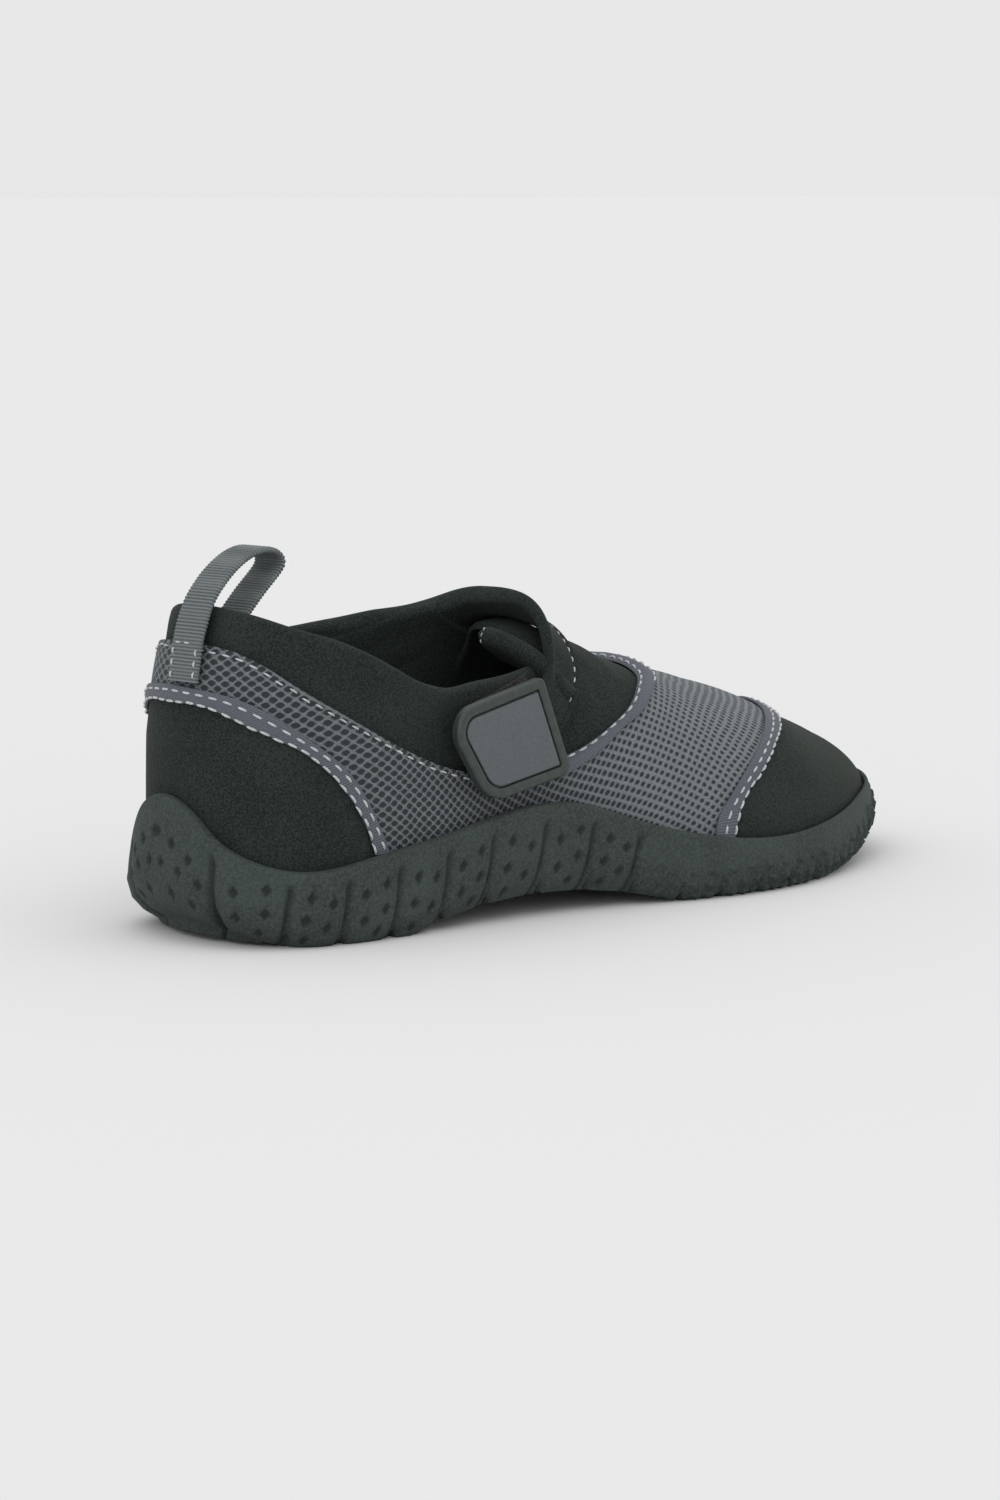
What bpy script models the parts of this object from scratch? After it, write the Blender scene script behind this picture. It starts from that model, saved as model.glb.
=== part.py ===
"""Child's water shoe for the right foot: rubber cup sole, hollow neoprene upper and sewn overlays.

Frame: +X to the toe, -Y to the outer (lateral) side, +Z up, floor at z = 0.
The origin is on the floor, under the flat lug in the middle of the heel.
Places along the sole are shares of SOLE_LENGTH, 0 at the back of the heel and 1 at the toe tip.
A "turn" runs round the sole from -pi (toe) over the outer side to 0 (heel) and on to pi (toe).
A "lift" climbs the upper from 0 at its feather edge to 1 at the ridge, and on to 2 down the inner side.
"""
import bmesh
import bpy
import numpy as np

# Last and sole, in metres
SOLE_LENGTH = 0.205
HEEL_WIDTH = 0.062
BALL_WIDTH = 0.080
TOE_SWING = 0.006
INSTEP_HEIGHT = 0.080
HEEL_COLLAR_HEIGHT = 0.070
HEEL_SEAT = 0.032
HEEL_TOP_LEAN = 0.0052
HEEL_LEAN = 0.016
TOE_BOX_SETBACK = 0.020
RIDGE_OFFSET = 0.002
HEEL_RIM_HEIGHT = 0.030
FOOTBED_HEIGHT = 0.010
TOE_SPRING = 0.009
WAIST_LIFT = 0.005
HEEL_BEVEL = 0.004
CUP_WALL = 0.0045
SOLE_EDGE_ROUND = 0.003
HEEL_EDGE_ROUND = 0.005
HEEL_WALL_LEAN = 0.0014
SIDE_WALL_LEAN = 0.0010
LUG_DEPTH = 0.0018
GROOVE_DEPTH = 0.0011
GROOVE_WIDTH = 0.0018
GROOVE_SLANT = 0.0042

# Sheets of the upper
SHELL_WALL = 0.0022
SHELL_RECESS = 0.0014
PANEL_THICKNESS = 0.0008
TAPE_THICKNESS = 0.0007
TAPE_CLEARANCE = 0.00035
STRAP_THICKNESS = 0.0018
STRAP_CLEARANCE = 0.0005
STRAP_BULGE = 0.0036
THROAT_SAG = 0.0060
TONGUE_THICKNESS = 0.0020
INSOLE_THICKNESS = 0.0030
CLEARANCE = 0.0003
THROAT_SHARE = 0.41
THROAT_FRONT_SHARE = 0.50
SEAM_LIFT = 0.005
PANEL_TUCK = 0.003

# Badge, loop and hook strip
BADGE_THICKNESS = 0.0024
BADGE_RIM = 0.0023
BADGE_POCKET = 0.0010
BADGE_EDGE = 0.0006
BADGE_LEAST_RADIUS = 0.0003
BADGE_CENTRE_SHARE = 0.338
BADGE_CENTRE_HEIGHT = 0.0380
LOOP_WIDTH = 0.0085
LOOP_THICKNESS = 0.0012
LOOP_TURN = -0.075
LOOP_ROOT_HEIGHT = 0.0580
STRIP_THICKNESS = 0.0010

# Outline of the sole: place, then the half widths on both sides as shares of the named width.
OUTLINE = (
    # share, outer side, inner side, width
    (0.00, 0.000, 0.000, HEEL_WIDTH),
    (0.03, 0.310, 0.300, HEEL_WIDTH),
    (0.10, 0.465, 0.455, HEEL_WIDTH),
    (0.20, 0.505, 0.475, HEEL_WIDTH),
    (0.32, 0.500, 0.430, HEEL_WIDTH),
    (0.45, 0.410, 0.330, BALL_WIDTH),
    (0.58, 0.470, 0.400, BALL_WIDTH),
    (0.70, 0.505, 0.480, BALL_WIDTH),
    (0.80, 0.465, 0.475, BALL_WIDTH),
    (0.90, 0.352, 0.395, BALL_WIDTH),
    (0.97, 0.200, 0.245, BALL_WIDTH),
    (1.00, 0.000, 0.000, BALL_WIDTH),
)

# Top edge of the sole's side wall: place, height as a share of HEEL_RIM_HEIGHT.
RIM = (
    (0.00, 1.00), (0.007, 0.87), (0.017, 0.72), (0.03, 0.63), (0.05, 0.56), (0.08, 0.51), (0.12, 0.51),
    (0.17, 0.56), (0.22, 0.61), (0.27, 0.66), (0.33, 0.74), (0.39, 0.79), (0.43, 0.775), (0.47, 0.70),
    (0.51, 0.60), (0.56, 0.50), (0.61, 0.43), (0.67, 0.38), (0.75, 0.38), (0.82, 0.42), (0.88, 0.48),
    (0.94, 0.56), (1.00, 0.62),
)

# Top line of the foot: place, height as a share of INSTEP_HEIGHT. Behind 0.36 it is the leg.
ROOF = (
    (0.00, 1.40), (0.15, 1.40), (0.28, 1.27), (0.36, 1.02), (0.42, 0.85), (0.47, 0.775), (0.52, 0.719),
    (0.60, 0.634), (0.68, 0.567), (0.76, 0.512), (0.84, 0.429), (0.91, 0.362), (0.96, 0.30), (1.00, 0.16),
)

# Inset of the upper's feather edge from the sole's outline: place, share of CUP_WALL.
CUP = ((0.0, 1.00), (0.3, 1.00), (0.6, 0.76), (0.9, 0.58), (1.0, 0.53))

# Section of the sole's side wall, from the floor up.
SIDE = (
    # share of the wall's height, share of the edge's round, share of the lean
    (0.00, 1.00, 0.00),
    (0.10, 0.52, 0.00),
    (0.26, 0.15, 0.00),
    (0.48, 0.00, 0.00),
    (0.76, 0.00, 0.40),
    (1.00, 0.00, 1.00),
)

# Grooves that run from the tread up the side wall, and cross channels that stay under the forefoot.
SIDE_GROOVES = (0.016, 0.071, 0.133, 0.196, 0.260, 0.319, 0.387, 0.447, 0.503)
TREAD_CHANNELS = (0.56, 0.61, 0.66, 0.71, 0.76, 0.81, 0.86, 0.91, 0.955)
LONG_CHANNELS = (0.33, 0.67)
TREAD_LINES = (0.0, 0.315, 0.33, 0.345, 0.5, 0.655, 0.67, 0.685, 1.0)

# Collar line: place, height on the outer side, height on the inner side, as shares of HEEL_COLLAR_HEIGHT.
COLLAR = (
    (0.00, 1.000, 1.000), (0.03, 0.974, 0.974), (0.072, 0.937, 0.937), (0.149, 0.881, 0.900),
    (0.218, 0.797, 0.880), (0.248, 0.752, 0.877), (0.271, 0.730, 0.880), (0.290, 0.720, 0.886),
    (0.319, 0.729, 0.898), (0.358, 0.739, 0.919), (0.410, 0.763, 0.947),
)

# Upper edge of the mesh panel behind the badge: place, share of HEEL_COLLAR_HEIGHT.
MESH_EDGE = (
    (0.00, 0.883), (0.016, 0.870), (0.035, 0.844), (0.086, 0.760), (0.145, 0.669), (0.213, 0.564),
    (0.271, 0.490), (0.33, 0.450), (0.40, 0.450), (0.449, 0.473),
)

# Tape round the heel, from the rim to the heel's centre: places, heights as shares of HEEL_COLLAR_HEIGHT.
HEEL_TAPE = (
    # upper edge: share, height; lower edge: share, height
    (0.196, 0.258, 0.178, 0.252),
    (0.174, 0.391, 0.160, 0.373),
    (0.145, 0.506, 0.128, 0.489),
    (0.107, 0.593, 0.083, 0.586),
    (0.056, 0.689, 0.033, 0.657),
    (0.016, 0.742, 0.010, 0.700),
    (0.000, 0.759, 0.000, 0.709),
)

# Tapes over the foot, from the rim to the ridge: rear edge and front edge.
TOE_TAPE = (
    # rear share, rear lift, front share, front lift
    (0.608, 0.035, 0.634, 0.030),
    (0.613, 0.090, 0.643, 0.107),
    (0.632, 0.161, 0.666, 0.201),
    (0.666, 0.268, 0.700, 0.290),
    (0.710, 0.389, 0.742, 0.400),
    (0.756, 0.517, 0.790, 0.520),
    (0.820, 0.711, 0.848, 0.700),
    (0.862, 0.880, 0.887, 0.870),
    (0.891, 1.000, 0.917, 1.000),
)
VAMP_TAPE = (
    (0.445, 0.242, 0.452, 0.212),
    (0.471, 0.289, 0.480, 0.270),
    (0.497, 0.349, 0.508, 0.345),
    (0.534, 0.456, 0.545, 0.440),
    (0.570, 0.597, 0.585, 0.580),
    (0.600, 0.720, 0.622, 0.715),
    (0.622, 0.860, 0.645, 0.860),
    (0.639, 1.000, 0.664, 1.000),
)

# Strap, from its end under the badge over the instep to its root at the inner collar.
STRAP = (
    # rear share, rear lift, front share, front lift, rise of the rear edge, rise over the vamp
    (0.340, 0.175, 0.385, 0.140, 0.00, 1.0),
    (0.368, 0.270, 0.405, 0.215, 0.00, 1.0),
    (0.395, 0.350, 0.422, 0.280, 0.00, 1.0),
    (0.415, 0.450, 0.440, 0.345, 0.15, 0.6),
    (0.424, 0.570, 0.460, 0.430, 0.50, 0.0),
    (0.427, 0.720, 0.476, 0.540, 0.70, 0.0),
    (0.428, 0.880, 0.487, 0.720, 0.40, 0.0),
    (0.425, 1.060, 0.494, 0.930, 0.10, 0.0),
    (0.412, 1.250, 0.494, 1.180, 0.00, 0.0),
    (0.385, 1.420, 0.488, 1.420, 0.00, 0.0),
    (0.350, 1.548, 0.470, 1.620, 0.00, 0.0),
    (0.310, 1.645, 0.430, 1.735, 0.00, 0.0),
    (0.265, 1.703, 0.370, 1.790, 0.00, 0.0),
    (0.225, 1.728, 0.300, 1.800, 0.00, 0.0),
    (0.195, 1.742, 0.220, 1.775, 0.00, 0.0),
)

# Outline of the badge seen from the outer side, from its centre: along, up, corner radius, in metres.
BADGE = (
    (-0.0170, 0.0070, 0.0060),
    (-0.0060, -0.0122, 0.0070),
    (0.0174, -0.0078, 0.0025),
    (0.0104, 0.0133, 0.0015),
)

# Hook tape over the badge: place, lower and upper edge as shares of HEEL_COLLAR_HEIGHT.
HOOK_STRIP = (
    (0.318, 0.560, 0.672), (0.343, 0.577, 0.692), (0.368, 0.594, 0.715), (0.392, 0.610, 0.735),
)

# Rear edge of the tongue inside the opening: lift, place.
TONGUE = (
    (0.62, 0.404), (0.70, 0.400), (0.78, 0.397), (0.86, 0.395), (0.94, 0.393), (1.02, 0.391), (1.10, 0.389),
    (1.18, 0.390), (1.26, 0.396),
)

# Places of the sections of the shell and its panels, to which the seams' ends are added, and of the insole.
SECTIONS = (
    0.0, 0.004, 0.016, 0.035, 0.060, 0.086, 0.115, 0.145, 0.165, 0.178, 0.187, 0.213, 0.240, 0.271, 0.300,
    0.330, 0.360, 0.385, 0.410, 0.476, 0.5025, 0.540, 0.578, 0.602, 0.628, 0.640, 0.683, 0.726, 0.773,
    0.834, 0.875, 0.925, 0.955, 0.978, 0.992, 1.0,
)
INSOLE_SECTIONS = (
    0.0, 0.006, 0.02, 0.045, 0.08, 0.13, 0.20, 0.28, 0.36, 0.44, 0.52, 0.60, 0.68, 0.75, 0.81, 0.86, 0.90,
    0.935, 0.962, 0.982, 0.994, 1.0,
)

# Centre line of the pull loop: out from the heel's surface, height over the floor, in metres.
LOOP_PATH = (
    (0.0019, 0.0540), (0.0012, 0.0580), (0.0004, 0.0620), (-0.0010, 0.0661), (-0.0029, 0.0700),
    (-0.0060, 0.0736), (-0.0098, 0.0767), (-0.0142, 0.0790), (-0.0186, 0.0799), (-0.0222, 0.0789),
    (-0.0234, 0.0768), (-0.0214, 0.0744), (-0.0180, 0.0716), (-0.0148, 0.0687), (-0.0116, 0.0655),
    (-0.0088, 0.0620), (-0.0066, 0.0582), (-0.0050, 0.0540),
)


def curve_through(rows, at, level_ends=False):
    """Smooth curve through (place, value) rows: a natural cubic, or one with level ends."""
    knots = np.array([row[0] for row in rows], float)
    values = np.array([row[1] for row in rows], float)
    count = len(knots)
    step = np.diff(knots)
    slope = np.diff(values) / step
    matrix = np.eye(count)
    right = np.zeros(count)
    for i in range(1, count - 1):
        matrix[i, i - 1:i + 2] = step[i - 1], 2 * (step[i - 1] + step[i]), step[i]
        right[i] = 6 * (slope[i] - slope[i - 1])
    if level_ends:
        matrix[0, :2] = 2 * step[0], step[0]
        matrix[-1, -2:] = step[-1], 2 * step[-1]
        right[0] = 6 * slope[0]
        right[-1] = -6 * slope[-1]
    bend = np.linalg.solve(matrix, right)
    at = np.clip(at, knots[0], knots[-1])
    i = np.clip(np.searchsorted(knots, at, "right") - 1, 0, count - 2)
    before = at - knots[i]
    after = knots[i + 1] - at
    span = step[i]
    cubic = (bend[i] * after ** 3 + bend[i + 1] * before ** 3) / (6 * span)
    falling = (values[i] / span - bend[i] * span / 6) * after
    rising = (values[i + 1] / span - bend[i + 1] * span / 6) * before
    return cubic + falling + rising


def ramp(value, start, end):
    """Smooth step from 0 at start to 1 at end."""
    t = np.clip((np.asarray(value, float) - start) / (end - start), 0, 1)
    return t * t * (3 - 2 * t)


def turn_of(share):
    """Turn on the inner side for a place along the sole."""
    return np.arccos(1 - 2 * np.clip(share, 0, 1))


def share_of(turn):
    """Place along the sole for a turn."""
    return (1 - np.cos(turn)) / 2


def by_turn(rows, turn, level_ends=True):
    """Curve through (share, value) rows, smooth where it passes the heel and the toe."""
    return curve_through([(turn_of(share), value) for share, value in rows], np.abs(turn), level_ends)


def middle(share):
    """Sideways swing of the sole's centre line towards the big toe."""
    return TOE_SWING * ramp(share, 0.55, 1.0)


def wrapped(turn):
    """Turn brought back between -pi and pi."""
    return (np.asarray(turn, float) + np.pi) % (2 * np.pi) - np.pi


def outline(turn):
    """Plan of the sole at its widest, from the back of the heel."""
    turn = wrapped(turn)
    outer = by_turn([(share, a * width) for share, a, b, width in OUTLINE], turn, False)
    inner = by_turn([(share, b * width) for share, a, b, width in OUTLINE], turn, False)
    half = np.where(turn < 0, -outer, inner)
    share = share_of(turn)
    return np.stack([SOLE_LENGTH * share, middle(share) + half], -1)


def inset_outline(turn, inset):
    """The sole's plan moved inwards."""
    small = 1e-3
    along = outline(turn + small) - outline(turn - small)
    along /= np.linalg.norm(along, axis=-1, keepdims=True)
    inward = np.stack([along[..., 1], -along[..., 0]], -1)
    return outline(turn) + inward * np.asarray(inset)[..., None]


def cup_inset(turn):
    """Distance from the sole's widest plan to the upper."""
    return CUP_WALL * by_turn(CUP, turn)


def rim_height(turn):
    """Height of the side wall's top edge."""
    return HEEL_RIM_HEIGHT * by_turn(RIM, turn)


def bottom_height(share):
    """Height of the tread's faces: flat under heel and ball, lifted at the waist, heel back and toe."""
    heel = HEEL_BEVEL * np.clip(1 - share / 0.10, 0, 1) ** 2
    toe = TOE_SPRING * np.clip((share - 0.76) / 0.24, 0, 1) ** 2
    waist = WAIST_LIFT * np.clip(1 - ((share - 0.39) / 0.17) ** 2, 0, 1)
    return heel + toe + waist


def footbed_height(share):
    """Height of the floor inside the cup sole."""
    return FOOTBED_HEIGHT + 0.8 * TOE_SPRING * np.clip((share - 0.72) / 0.28, 0, 1) ** 2


def upper_point(turn, lift):
    """Outer surface of the upper's panels, from the back of the heel."""
    turn, lift = np.broadcast_arrays(wrapped(turn), np.asarray(lift, float))
    turn = np.where(lift > 1, -turn, turn)
    lift = np.where(lift > 1, 2 - lift, lift)
    share = share_of(turn)
    base = inset_outline(turn, cup_inset(turn))
    ridge_x = HEEL_LEAN + (SOLE_LENGTH - TOE_BOX_SETBACK - HEEL_LEAN) * share
    ridge = np.stack([ridge_x, 0.6 * middle(share) + RIDGE_OFFSET], -1)
    front = np.clip((share - 0.35) / 0.3, 0, 1)
    spread = np.clip(np.cos(lift * np.pi / 2), 0, 1) ** (0.74 + 0.18 * front)
    spread = np.where(lift > 1 - 1e-9, 0, spread)[..., None]
    plan = ridge * (1 - spread) + base * spread
    roof = INSTEP_HEIGHT * curve_through(ROOF, plan[..., 0] / SOLE_LENGTH)
    floor = footbed_height(base[..., 0] / SOLE_LENGTH)
    height = floor + (roof - floor) * np.sin(lift * np.pi / 2) ** (0.78 + 0.10 * front)
    over = np.clip((height / HEEL_COLLAR_HEIGHT - 0.62) / 0.38, 0, 1.1) ** 2
    plan = plan + np.stack([HEEL_TOP_LEAN * over * (1 - ramp(share, 0.05, 0.22)), 0 * over], -1)
    return np.concatenate([plan, height[..., None]], -1)


def upper_normal(turn, lift):
    """Outward direction of the upper's surface; the two sides are averaged at the ridge."""
    turn, lift = np.broadcast_arrays(wrapped(turn), np.asarray(lift, float))
    turn = np.where(lift > 1, -turn, turn)
    lift = np.where(lift > 1, 2 - lift, lift)
    turn = np.clip(turn, 0.02 - np.pi, np.pi - 0.02)

    def one_side(turn, lift):
        small = 4e-3
        lift = np.clip(lift, small, 0.975)
        round_it = upper_point(turn + small, lift) - upper_point(turn - small, lift)
        up_it = upper_point(turn, lift + small) - upper_point(turn, lift - small)
        normal = np.cross(up_it, round_it)
        return normal / np.linalg.norm(normal, axis=-1, keepdims=True)

    near = one_side(turn, lift)
    far = one_side(-turn, lift)
    share = ramp(lift, 0.90, 1.0)[..., None] / 2
    normal = near * (1 - share) + far * share
    return normal / np.linalg.norm(normal, axis=-1, keepdims=True)


def upper_at(turn, lift, out):
    """Point at a distance outside the upper's surface."""
    return upper_point(turn, lift) + upper_normal(turn, lift) * np.asarray(out)[..., None]


def lift_at_height(turn, height):
    """Lift at which the upper's side reaches a height."""
    turn, height = np.broadcast_arrays(np.asarray(turn, float), np.asarray(height, float))
    lifts = np.linspace(0, 1, 401)
    found = [np.interp(z, np.maximum.accumulate(upper_point(np.full(401, t), lifts)[:, 2]), lifts)
             for t, z in zip(turn.ravel(), height.ravel())]
    return np.array(found).reshape(turn.shape)


def throat_sag(turn, lift):
    """How far the shell's front edge sinks under the strap."""
    share = share_of(wrapped(turn))
    across = np.where(wrapped(turn) < 0, lift, 2 - lift)
    along = ramp(share, 0.33, 0.40) * (1 - ramp(share, 0.42, 0.485))
    return THROAT_SAG * along * ramp(across, 0.45, 0.95) * (1 - ramp(across, 1.35, 1.60))


def tape_middle(table):
    """Middle line of a tape over the foot, as (share, lift) rows in rising share."""
    return sorted(((row[0] + row[2]) / 2, (row[1] + row[3]) / 2) for row in table)


def sections():
    """Places of the sections of the shell and its panels, with the seams' ends among them."""
    ends = [tape_middle(table)[row][0] for table in (VAMP_TAPE, TOE_TAPE) for row in (0, -1)]
    return sorted(SECTIONS + tuple(ends))


def round_heel(shares):
    """Turns from the front of the outer side, round the heel, to the front of the inner side."""
    turns = turn_of(np.array(sorted(shares)))
    return np.concatenate([-turns[:0:-1], turns])


def round_toe(shares):
    """Turns from the rear of the inner side, round the toe, to the rear of the outer side."""
    turns = turn_of(np.array(sorted(shares)))
    return np.concatenate([turns, -turns[-2::-1]])


def grid_faces(rows, columns, keep=lambda i, j: True):
    """Quads of a grid of points stored row by row."""
    return [(i * columns + j, i * columns + j + 1, (i + 1) * columns + j + 1, (i + 1) * columns + j)
            for i in range(rows - 1) for j in range(columns - 1) if keep(i, j)]


def add_object(name, points, faces, look, smooth=35):
    """Mesh object with coincident points joined, placed from the heel's back to the part's origin."""
    mesh = bpy.data.meshes.new(name)
    placed = np.asarray(points, float).reshape(-1, 3) - (HEEL_SEAT, 0, 0)
    mesh.from_pydata(placed.tolist(), [], faces)
    shape = bmesh.new()
    shape.from_mesh(mesh)
    bmesh.ops.remove_doubles(shape, verts=shape.verts, dist=2e-5)
    bmesh.ops.dissolve_degenerate(shape, dist=1e-5, edges=shape.edges)
    loose = [vert for vert in shape.verts if not vert.link_faces]
    bmesh.ops.delete(shape, geom=loose, context="VERTS")
    bmesh.ops.recalc_face_normals(shape, faces=shape.faces)
    bmesh.ops.triangulate(shape, faces=shape.faces, quad_method="SHORT_EDGE")
    shape.to_mesh(mesh)
    shape.free()
    mesh.shade_smooth()
    mesh.set_sharp_from_angle(angle=np.radians(smooth))
    thing = bpy.data.objects.new(name, mesh)
    thing.data.materials.append(look)
    SHOE.objects.link(thing)
    return thing


def face_outwards(thing):
    """Turns an open sheet's faces away from the middle of the shoe."""
    inside = np.array([SOLE_LENGTH * 0.45 - HEEL_SEAT, 0, FOOTBED_HEIGHT])
    score = sum(np.dot(polygon.normal, np.array(polygon.center) - inside) * polygon.area
                for polygon in thing.data.polygons)
    if score < 0:
        thing.data.flip_normals()


def thicken(thing, thickness, outwards):
    """Gives an open sheet its thickness with a Solidify modifier."""
    face_outwards(thing)
    wall = thing.modifiers.new("wall", "SOLIDIFY")
    wall.thickness = thickness
    wall.offset = 1 if outwards else -1
    wall.use_quality_normals = True
    return thing


def material(name, colour, roughness):
    """Principled material from a screen colour."""
    look = bpy.data.materials.new(name)
    look.use_nodes = True
    shader = look.node_tree.nodes["Principled BSDF"]
    linear = [(value / 255) ** 2.2 for value in colour]
    shader.inputs["Base Color"].default_value = (*linear, 1)
    shader.inputs["Roughness"].default_value = roughness
    shader.inputs["Metallic"].default_value = 0
    look.diffuse_color = (*linear, 1)
    look.roughness = roughness
    return look


def sole_stations():
    """Places of the sole's sections, with 1 at a channel's bottom line and 2 at a side groove's."""
    half = GROOVE_WIDTH / 2 / SOLE_LENGTH
    rows = {0.0: 0, 0.006: 0, 0.035: 0, 0.052: 0, 0.985: 0, 0.996: 0, 1.0: 0}
    lines = sorted(SIDE_GROOVES + TREAD_CHANNELS)
    for line in lines:
        rows[line - half] = 0
        rows[line] = 2 if line in SIDE_GROOVES else 1
        rows[line + half] = 0
    for before, after in zip(lines[1:], lines[2:]):
        rows[(before + after) / 2] = 0
    return sorted(rows.items())


def sole_wall(side):
    """Rows of points of one side's wall, lip and inner wall, from the tread to the footbed."""
    stations = sole_stations()
    share = np.array([row[0] for row in stations])
    kind = np.array([row[1] for row in stations])
    slant = GROOVE_SLANT / SOLE_LENGTH * ramp(share, 0.0, 0.12) * (1 - ramp(share, 0.50, 0.62))
    heel = np.clip(1 - share / 0.12, 0, 1)
    rows = []
    for climb, rounded, lean in SIDE:
        place = share + slant * (climb - 0.5)
        turn = side * turn_of(place)
        low = bottom_height(place) + LUG_DEPTH * (kind > 0)
        edge_round = SOLE_EDGE_ROUND + HEEL_EDGE_ROUND * heel
        wall_lean = SIDE_WALL_LEAN + (HEEL_WALL_LEAN - SIDE_WALL_LEAN) * heel
        groove = GROOVE_DEPTH * (kind == 2) * (1 - ramp(climb, 0.76, 1.0))
        plan = inset_outline(turn, edge_round * rounded + wall_lean * lean + groove)
        height = low + (rim_height(turn) - low) * climb
        rows.append(np.concatenate([plan, height[:, None]], -1))
    top_turn = side * turn_of(share + slant / 2)
    inner_plan = inset_outline(top_turn, cup_inset(top_turn) - CLEARANCE - 0.0001)
    floor = footbed_height(inner_plan[:, 0] / SOLE_LENGTH)
    for sink in (0.0, 0.5, 1.0):
        height = rim_height(top_turn) * (1 - sink) + floor * sink
        rows.append(np.concatenate([inner_plan, height[:, None]], -1))
    return np.stack(rows, 1)


def make_sole(look):
    """Cup sole: side walls with slanted grooves, a thin lip, the footbed and a tread of flat lugs."""
    outer = sole_wall(-1)
    inner = sole_wall(1)
    count, height_rows = outer.shape[:2]
    stations = sole_stations()
    kind = np.array([row[1] for row in stations])
    tread = []
    for line in TREAD_LINES:
        strip = outer[:, 0] * (1 - line) + inner[:, 0] * line
        width = np.linalg.norm(inner[:, 0] - outer[:, 0], axis=-1)
        if line in LONG_CHANNELS:
            deep = LUG_DEPTH * np.clip(width / HEEL_WIDTH, 0, 1) * (kind == 0)
            strip = strip + deep[:, None] * (0, 0, 1)
        tread.append(strip)
    tread = np.stack(tread, 1)
    bed = np.stack([outer[:, -1] * (1 - line) + inner[:, -1] * line for line in (0.0, 0.5, 1.0)], 1)
    points = []
    faces = []
    for block in (outer, inner, tread, bed):
        start = len(points)
        points.extend(block.reshape(-1, 3).tolist())
        faces.extend(tuple(start + corner for corner in face) for face in grid_faces(*block.shape[:2]))
    return add_object("sole", points, faces, look, 30)


def collar_lift(turn):
    """Lift of the collar line; in front of the throat it runs on over the toes."""
    share = np.minimum(share_of(turn), THROAT_SHARE)
    outer = curve_through([(row[0], row[1]) for row in COLLAR], share)
    inner = curve_through([(row[0], row[2]) for row in COLLAR], share)
    height = HEEL_COLLAR_HEIGHT * np.where(turn < 0, outer, inner)
    lift = lift_at_height(np.sign(turn) * turn_of(share), height)
    return lift + (0.55 - lift) * ramp(share_of(turn), THROAT_SHARE, 0.75)


def make_upper(look):
    """Hollow shell: one neoprene wall, open at the collar, at the throat and under the foot."""
    turns = round_heel(sections())
    shares = share_of(turns)
    foot_x = inset_outline(turns, cup_inset(turns))[:, 0]
    bed = footbed_height(foot_x / SOLE_LENGTH) + CLEARANCE
    tilt = upper_normal(turns, lift_at_height(turns, bed + SHELL_WALL))[:, 2]
    foot = lift_at_height(turns, bed + SHELL_WALL * np.clip(tilt, 0, 1))
    line = collar_lift(turns)
    lower_rows = 5
    upper_rows = 3
    climb = [foot + (line - foot) * (j / lower_rows) for j in range(lower_rows + 1)]
    climb += [line + (1 - line) * (j / upper_rows) for j in range(1, upper_rows + 1)]
    lifts = np.stack(climb, 1)
    grid_turns = np.broadcast_to(turns[:, None], lifts.shape)
    sag = throat_sag(grid_turns, lifts)
    points = upper_at(grid_turns, lifts, -SHELL_RECESS - sag)
    rows, columns = lifts.shape
    covered = shares > THROAT_SHARE - 1e-6

    def keep(i, j):
        return j < lower_rows or (covered[i] and covered[i + 1])

    shell = add_object("upper", points, grid_faces(rows, columns, keep), look)
    return thicken(shell, SHELL_WALL, False)


def heel_seam(turn):
    """Lift of the seam under the heel tape."""
    rows = [((turn_of(a) + turn_of(c)) / 2, (b + d) / 2) for a, b, c, d in reversed(HEEL_TAPE)]
    height = HEEL_COLLAR_HEIGHT * np.interp(np.abs(turn), [row[0] for row in rows], [row[1] for row in rows])
    return lift_at_height(turn, height)


def panel_foot(turn):
    """Lift of a panel's lower edge, hidden a little way down inside the sole's cup."""
    foot_x = inset_outline(turn, cup_inset(turn))[:, 0]
    low = np.maximum(footbed_height(foot_x / SOLE_LENGTH) + 2 * CLEARANCE, rim_height(turn) - PANEL_TUCK)
    return lift_at_height(turn, low)


def mesh_top(turn):
    """Lift of the mesh panel's upper edge: below the collar, then under the vamp tape to the ridge."""
    share = share_of(turn)
    rear = HEEL_COLLAR_HEIGHT * curve_through(MESH_EDGE, share)
    rear_lift = lift_at_height(turn, rear)
    seam = tape_middle(VAMP_TAPE)
    front_lift = np.interp(share, [row[0] for row in seam], [row[1] for row in seam])
    return np.where(share < seam[0][0], rear_lift, front_lift)


def panel(name, turns, low, high, rows, look):
    """Sheet between two lift curves, with its outer face on the upper's surface."""
    low = np.minimum(low, high)
    lifts = np.stack([low + (high - low) * (j / rows) for j in range(rows + 1)], 1)
    grid_turns = np.broadcast_to(turns[:, None], lifts.shape)
    points = upper_point(grid_turns, lifts)
    return thicken(add_object(name, points, grid_faces(*lifts.shape), look), PANEL_THICKNESS, False)


def make_mesh_panel(look):
    """Open mesh round the heel and both sides, closed over the toes between the two tapes."""
    toe_seam = tape_middle(TOE_TAPE)
    turns = round_heel([share for share in sections() if share <= toe_seam[-1][0] + 1e-6])
    share = share_of(turns)
    toe_lift = np.interp(share, [row[0] for row in toe_seam], [row[1] for row in toe_seam]) + SEAM_LIFT
    low = np.where(share > toe_seam[0][0], np.maximum(toe_lift, panel_foot(turns)), panel_foot(turns))
    heel_end = (HEEL_TAPE[0][0] + HEEL_TAPE[0][2]) / 2
    low = np.where(share < heel_end + 1e-6, np.maximum(heel_seam(turns) + SEAM_LIFT, low), low)
    high = mesh_top(turns)
    low = np.where(share > toe_seam[-1][0] - 1e-4, 1.0, low)
    return panel("mesh_panel", turns, low, high, 5, look)


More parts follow.
